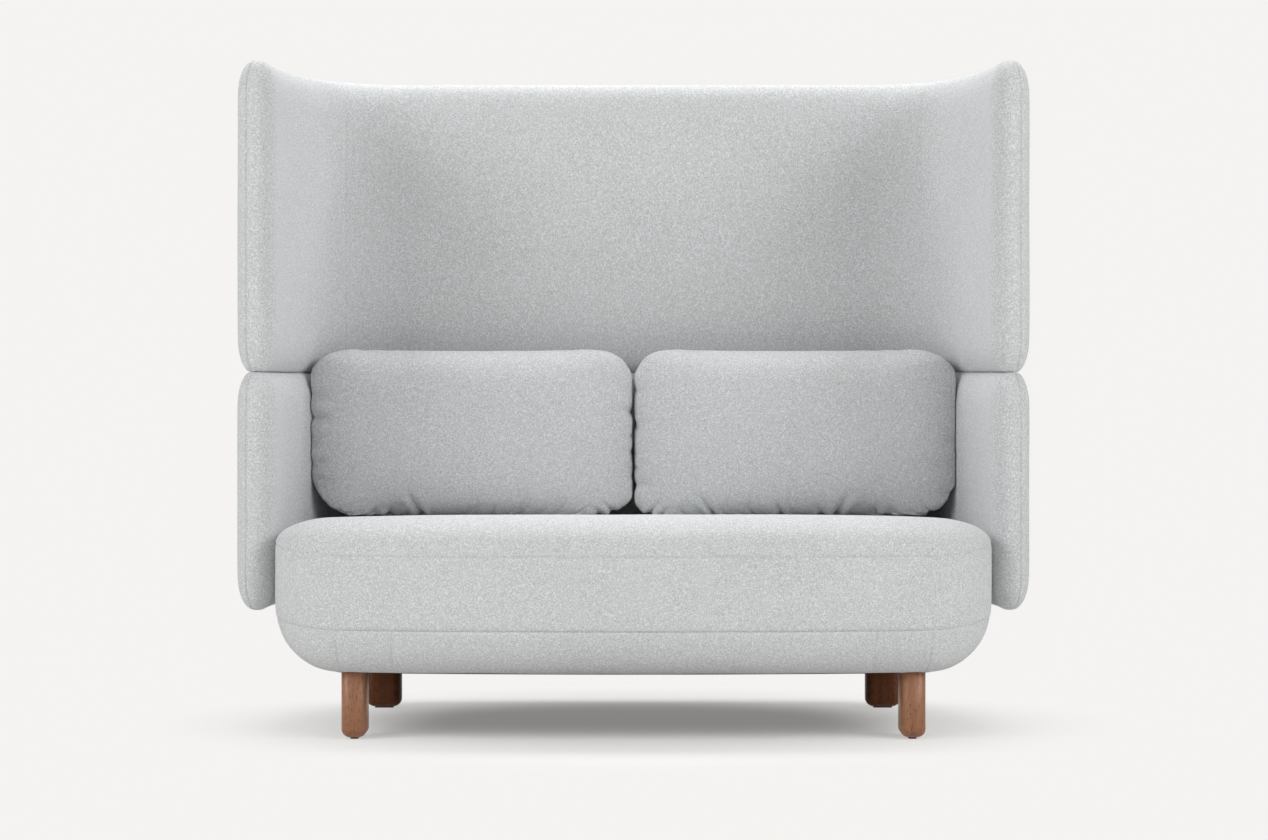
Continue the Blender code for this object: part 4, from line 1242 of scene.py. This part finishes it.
class SOFA_OT_frame_parts(bpy.types.Operator):
    """Finish the wood, the steel fixings and the zips that stay as they are"""

    bl_idname = "sofa.frame_parts"
    bl_label = "Frame and fixings"

    def execute(self, context):
        ply = plywood("plywood_face", (0, math.pi / 2, 0))
        timber = plywood("frame_timber", (math.pi / 2, 0, 0))
        dress(["screen_plywood", "arm_shell_plywood", "seat_front_rail", "seat_rear_rail"], ply)
        dress(["leg_bearer_left", "leg_bearer_right", "middle_rail"], timber)
        for place in WALL_PLACES:
            dress(["joining_bar_" + place, "shell_bolt_" + place], steel())
        dress(["leg_bolt_" + place for place in LEG_PLACES], steel())
        dress(["left_zip_chain", "right_zip_chain"], plain("zip_tape_grey"))
        dress(["left_zip_slider", "right_zip_slider"], steel())
        return {"FINISHED"}


# Softboxes: place, target, width, height and power
LAMPS = {
    "left_softbox": ((-3.4, -2.0, 2.6), (0.0, -0.1, 0.75), 1.8, 1.6, 70.0),
    "right_softbox": ((3.4, -2.0, 2.6), (0.0, -0.1, 0.75), 1.8, 1.6, 69.0),
    "left_front_softbox": ((-2.4, -3.4, 2.4), (0.0, 0.0, 0.75), 1.8, 1.6, 36.0),
    "right_front_softbox": ((2.4, -3.4, 2.4), (0.0, 0.0, 0.75), 1.8, 1.6, 36.0),
    "top_softbox": ((0.0, 0.8, 3.3), (0.0, -0.3, 0.4), 3.4, 1.0, 84.0),
}
AMBIENT = 0.12
# Floor: its share of the light near the sofa, its painted shade under the sofa (near black for bounced
# light), and where its shadow fades into the backdrop
FLOOR_SIZE = 30.0
FLOOR_GAIN = 0.93
UNDER_PAINTED_SHADE = 0.05
SHADOW_LIFT = 0.25
FLOOR_SHIFT = (0.0, 0.08, 0.0)
FLOOR_SCALE = (0.95, 1.35, 0.0)
FADE_RANGE = (0.35, 1.0)
UNDER_SHADE_RANGE = (0.30, 0.55)
# Camera: place, lens and sensor in millimetres, and shift in pixels of the photo
CAMERA_PLACE = (0.0, -5.81, 0.708)
CAMERA_LENS = 79.8
CAMERA_SENSOR = 36.0
CAMERA_SHIFT = (0.5, -42.0)


def backdrop_colour(gain=1.0):
    return (*[value * gain for value in colours().backdrop], 1.0)


def seen_rays(tree):
    """One for rays that show a surface itself, which are camera, glossy and transmitted ones."""
    path = node(tree, "ShaderNodeLightPath").outputs
    seen = maths(tree, "MAXIMUM", path["Is Camera Ray"], path["Is Glossy Ray"])
    return maths(tree, "MAXIMUM", seen, path["Is Transmission Ray"])


def mixed_shader(tree, factor, first, second):
    mix = node(tree, "ShaderNodeMixShader")
    for socket, value in zip(mix.inputs, (factor, first.outputs[0], second.outputs[0])):
        tree.links.new(value, socket)
    return mix


def backdrop_material():
    """Pale floor that keeps the shadow near the sofa and fades into the backdrop further off. Under the sofa
    it is near black for bounced light, a painted shade that keeps the underside and rear legs dark.
    """
    material = bpy.data.materials.new("studio_floor")
    material.use_nodes = True
    tree = material.node_tree
    tree.nodes.clear()
    place = node(tree, "ShaderNodeTexCoord").outputs["Object"]
    stretch = node(tree, "ShaderNodeMapping", Location=FLOOR_SHIFT, Scale=FLOOR_SCALE, Vector=place)
    away = node(tree, "ShaderNodeVectorMath", operation="LENGTH", Vector=stretch.outputs["Vector"])
    away = away.outputs["Value"]
    # Painted shade: under the sofa the floor is near black for bounced light
    floor = mixed(tree, ranged(tree, away, *UNDER_SHADE_RANGE), backdrop_colour(UNDER_PAINTED_SHADE), backdrop_colour())
    shaded_bounce = node(tree, "ShaderNodeBsdfDiffuse", Color=floor)
    lit = node(tree, "ShaderNodeBsdfDiffuse", Color=backdrop_colour(FLOOR_GAIN))
    glow = node(tree, "ShaderNodeEmission", Color=backdrop_colour(), Strength=1.0)
    far = ranged(tree, away, *FADE_RANGE, SHADOW_LIFT, 1.0, "SMOOTHSTEP")
    shown = mixed_shader(tree, seen_rays(tree), shaded_bounce, mixed_shader(tree, far, lit, glow))
    node(tree, "ShaderNodeOutputMaterial", Surface=shown.outputs["Shader"])
    return material


def studio_world():
    """Even light from all round, with the pale backdrop where the camera looks."""
    world = bpy.data.worlds.new("studio_world")
    world.use_nodes = True
    tree = world.node_tree
    tree.nodes.clear()
    ambient = node(tree, "ShaderNodeBackground", Color=(1.0, 1.0, 1.0, 1.0), Strength=AMBIENT)
    backdrop = node(tree, "ShaderNodeBackground", Color=backdrop_colour(), Strength=1.0)
    shown = mixed_shader(tree, seen_rays(tree), ambient, backdrop)
    node(tree, "ShaderNodeOutputWorld", Surface=shown.outputs["Shader"])
    return world


class SOFA_OT_stage(bpy.types.Operator):
    """Make the floor, the soft light and the camera"""

    bl_idname = "sofa.stage"
    bl_label = "Studio"

    def execute(self, context):
        scene = context.scene
        bm = bmesh.new()
        bmesh.ops.create_grid(bm, x_segments=1, y_segments=1, size=FLOOR_SIZE)
        floor = new_object("studio_floor", bm, backdrop_material(), False)
        for name, (place, target, width, height, energy) in LAMPS.items():
            light = bpy.data.lights.new(name, "AREA")
            light.shape = "RECTANGLE"
            light.size, light.size_y, light.energy = width, height, energy
            lamp = bpy.data.objects.new(name, light)
            lamp.location = place
            lamp.rotation_euler = (Vector(target) - Vector(place)).to_track_quat("-Z", "Y").to_euler()
            scene.collection.objects.link(lamp)
        scene.world = studio_world()
        camera = bpy.data.cameras.new("photo_camera")
        camera.lens = CAMERA_LENS
        camera.sensor_width = CAMERA_SENSOR
        camera.shift_x, camera.shift_y = (pixels / PHOTO_WIDTH for pixels in CAMERA_SHIFT)
        holder = bpy.data.objects.new("photo_camera", camera)
        holder.location = CAMERA_PLACE
        holder.rotation_euler = (math.pi / 2, 0.0, 0.0)
        scene.collection.objects.link(holder)
        scene.camera = holder
        scene.view_settings.view_transform = "Standard"
        return {"FINISHED"}


OPERATORS = (
    SOFA_OT_walls,
    SOFA_OT_seat,
    SOFA_OT_cushions,
    SOFA_OT_legs,
    SOFA_OT_underside,
    SOFA_OT_frame_parts,
    SOFA_OT_stage,
)


class SOFA_PT_panel(bpy.types.Panel):
    """Lists the steps that dress the sofa"""

    bl_label = "Sofa"
    bl_idname = "SOFA_PT_panel"
    bl_space_type = "VIEW_3D"
    bl_region_type = "UI"
    bl_category = "Sofa"

    def draw(self, context):
        for group in (context.scene.sofa_sizes, context.scene.sofa_colours):
            for name in group.bl_rna.properties.keys():
                if name not in ("rna_type", "name"):
                    self.layout.prop(group, name)
        for operator in OPERATORS:
            self.layout.operator(operator.bl_idname)


CLASSES = (SofaSizes, SofaColours, *OPERATORS, SOFA_PT_panel)


def register():
    for item in CLASSES:
        bpy.utils.register_class(item)
    bpy.types.Scene.sofa_sizes = PointerProperty(type=SofaSizes)
    bpy.types.Scene.sofa_colours = PointerProperty(type=SofaColours)


def unregister():
    del bpy.types.Scene.sofa_colours
    del bpy.types.Scene.sofa_sizes
    for item in reversed(CLASSES):
        bpy.utils.unregister_class(item)


def main():
    register()
    bpy.ops.sofa.walls()
    bpy.ops.sofa.seat()
    bpy.ops.sofa.cushions()
    bpy.ops.sofa.legs()
    bpy.ops.sofa.underside()
    bpy.ops.sofa.frame_parts()
    bpy.ops.sofa.stage()


if __name__ == "__main__":
    main()
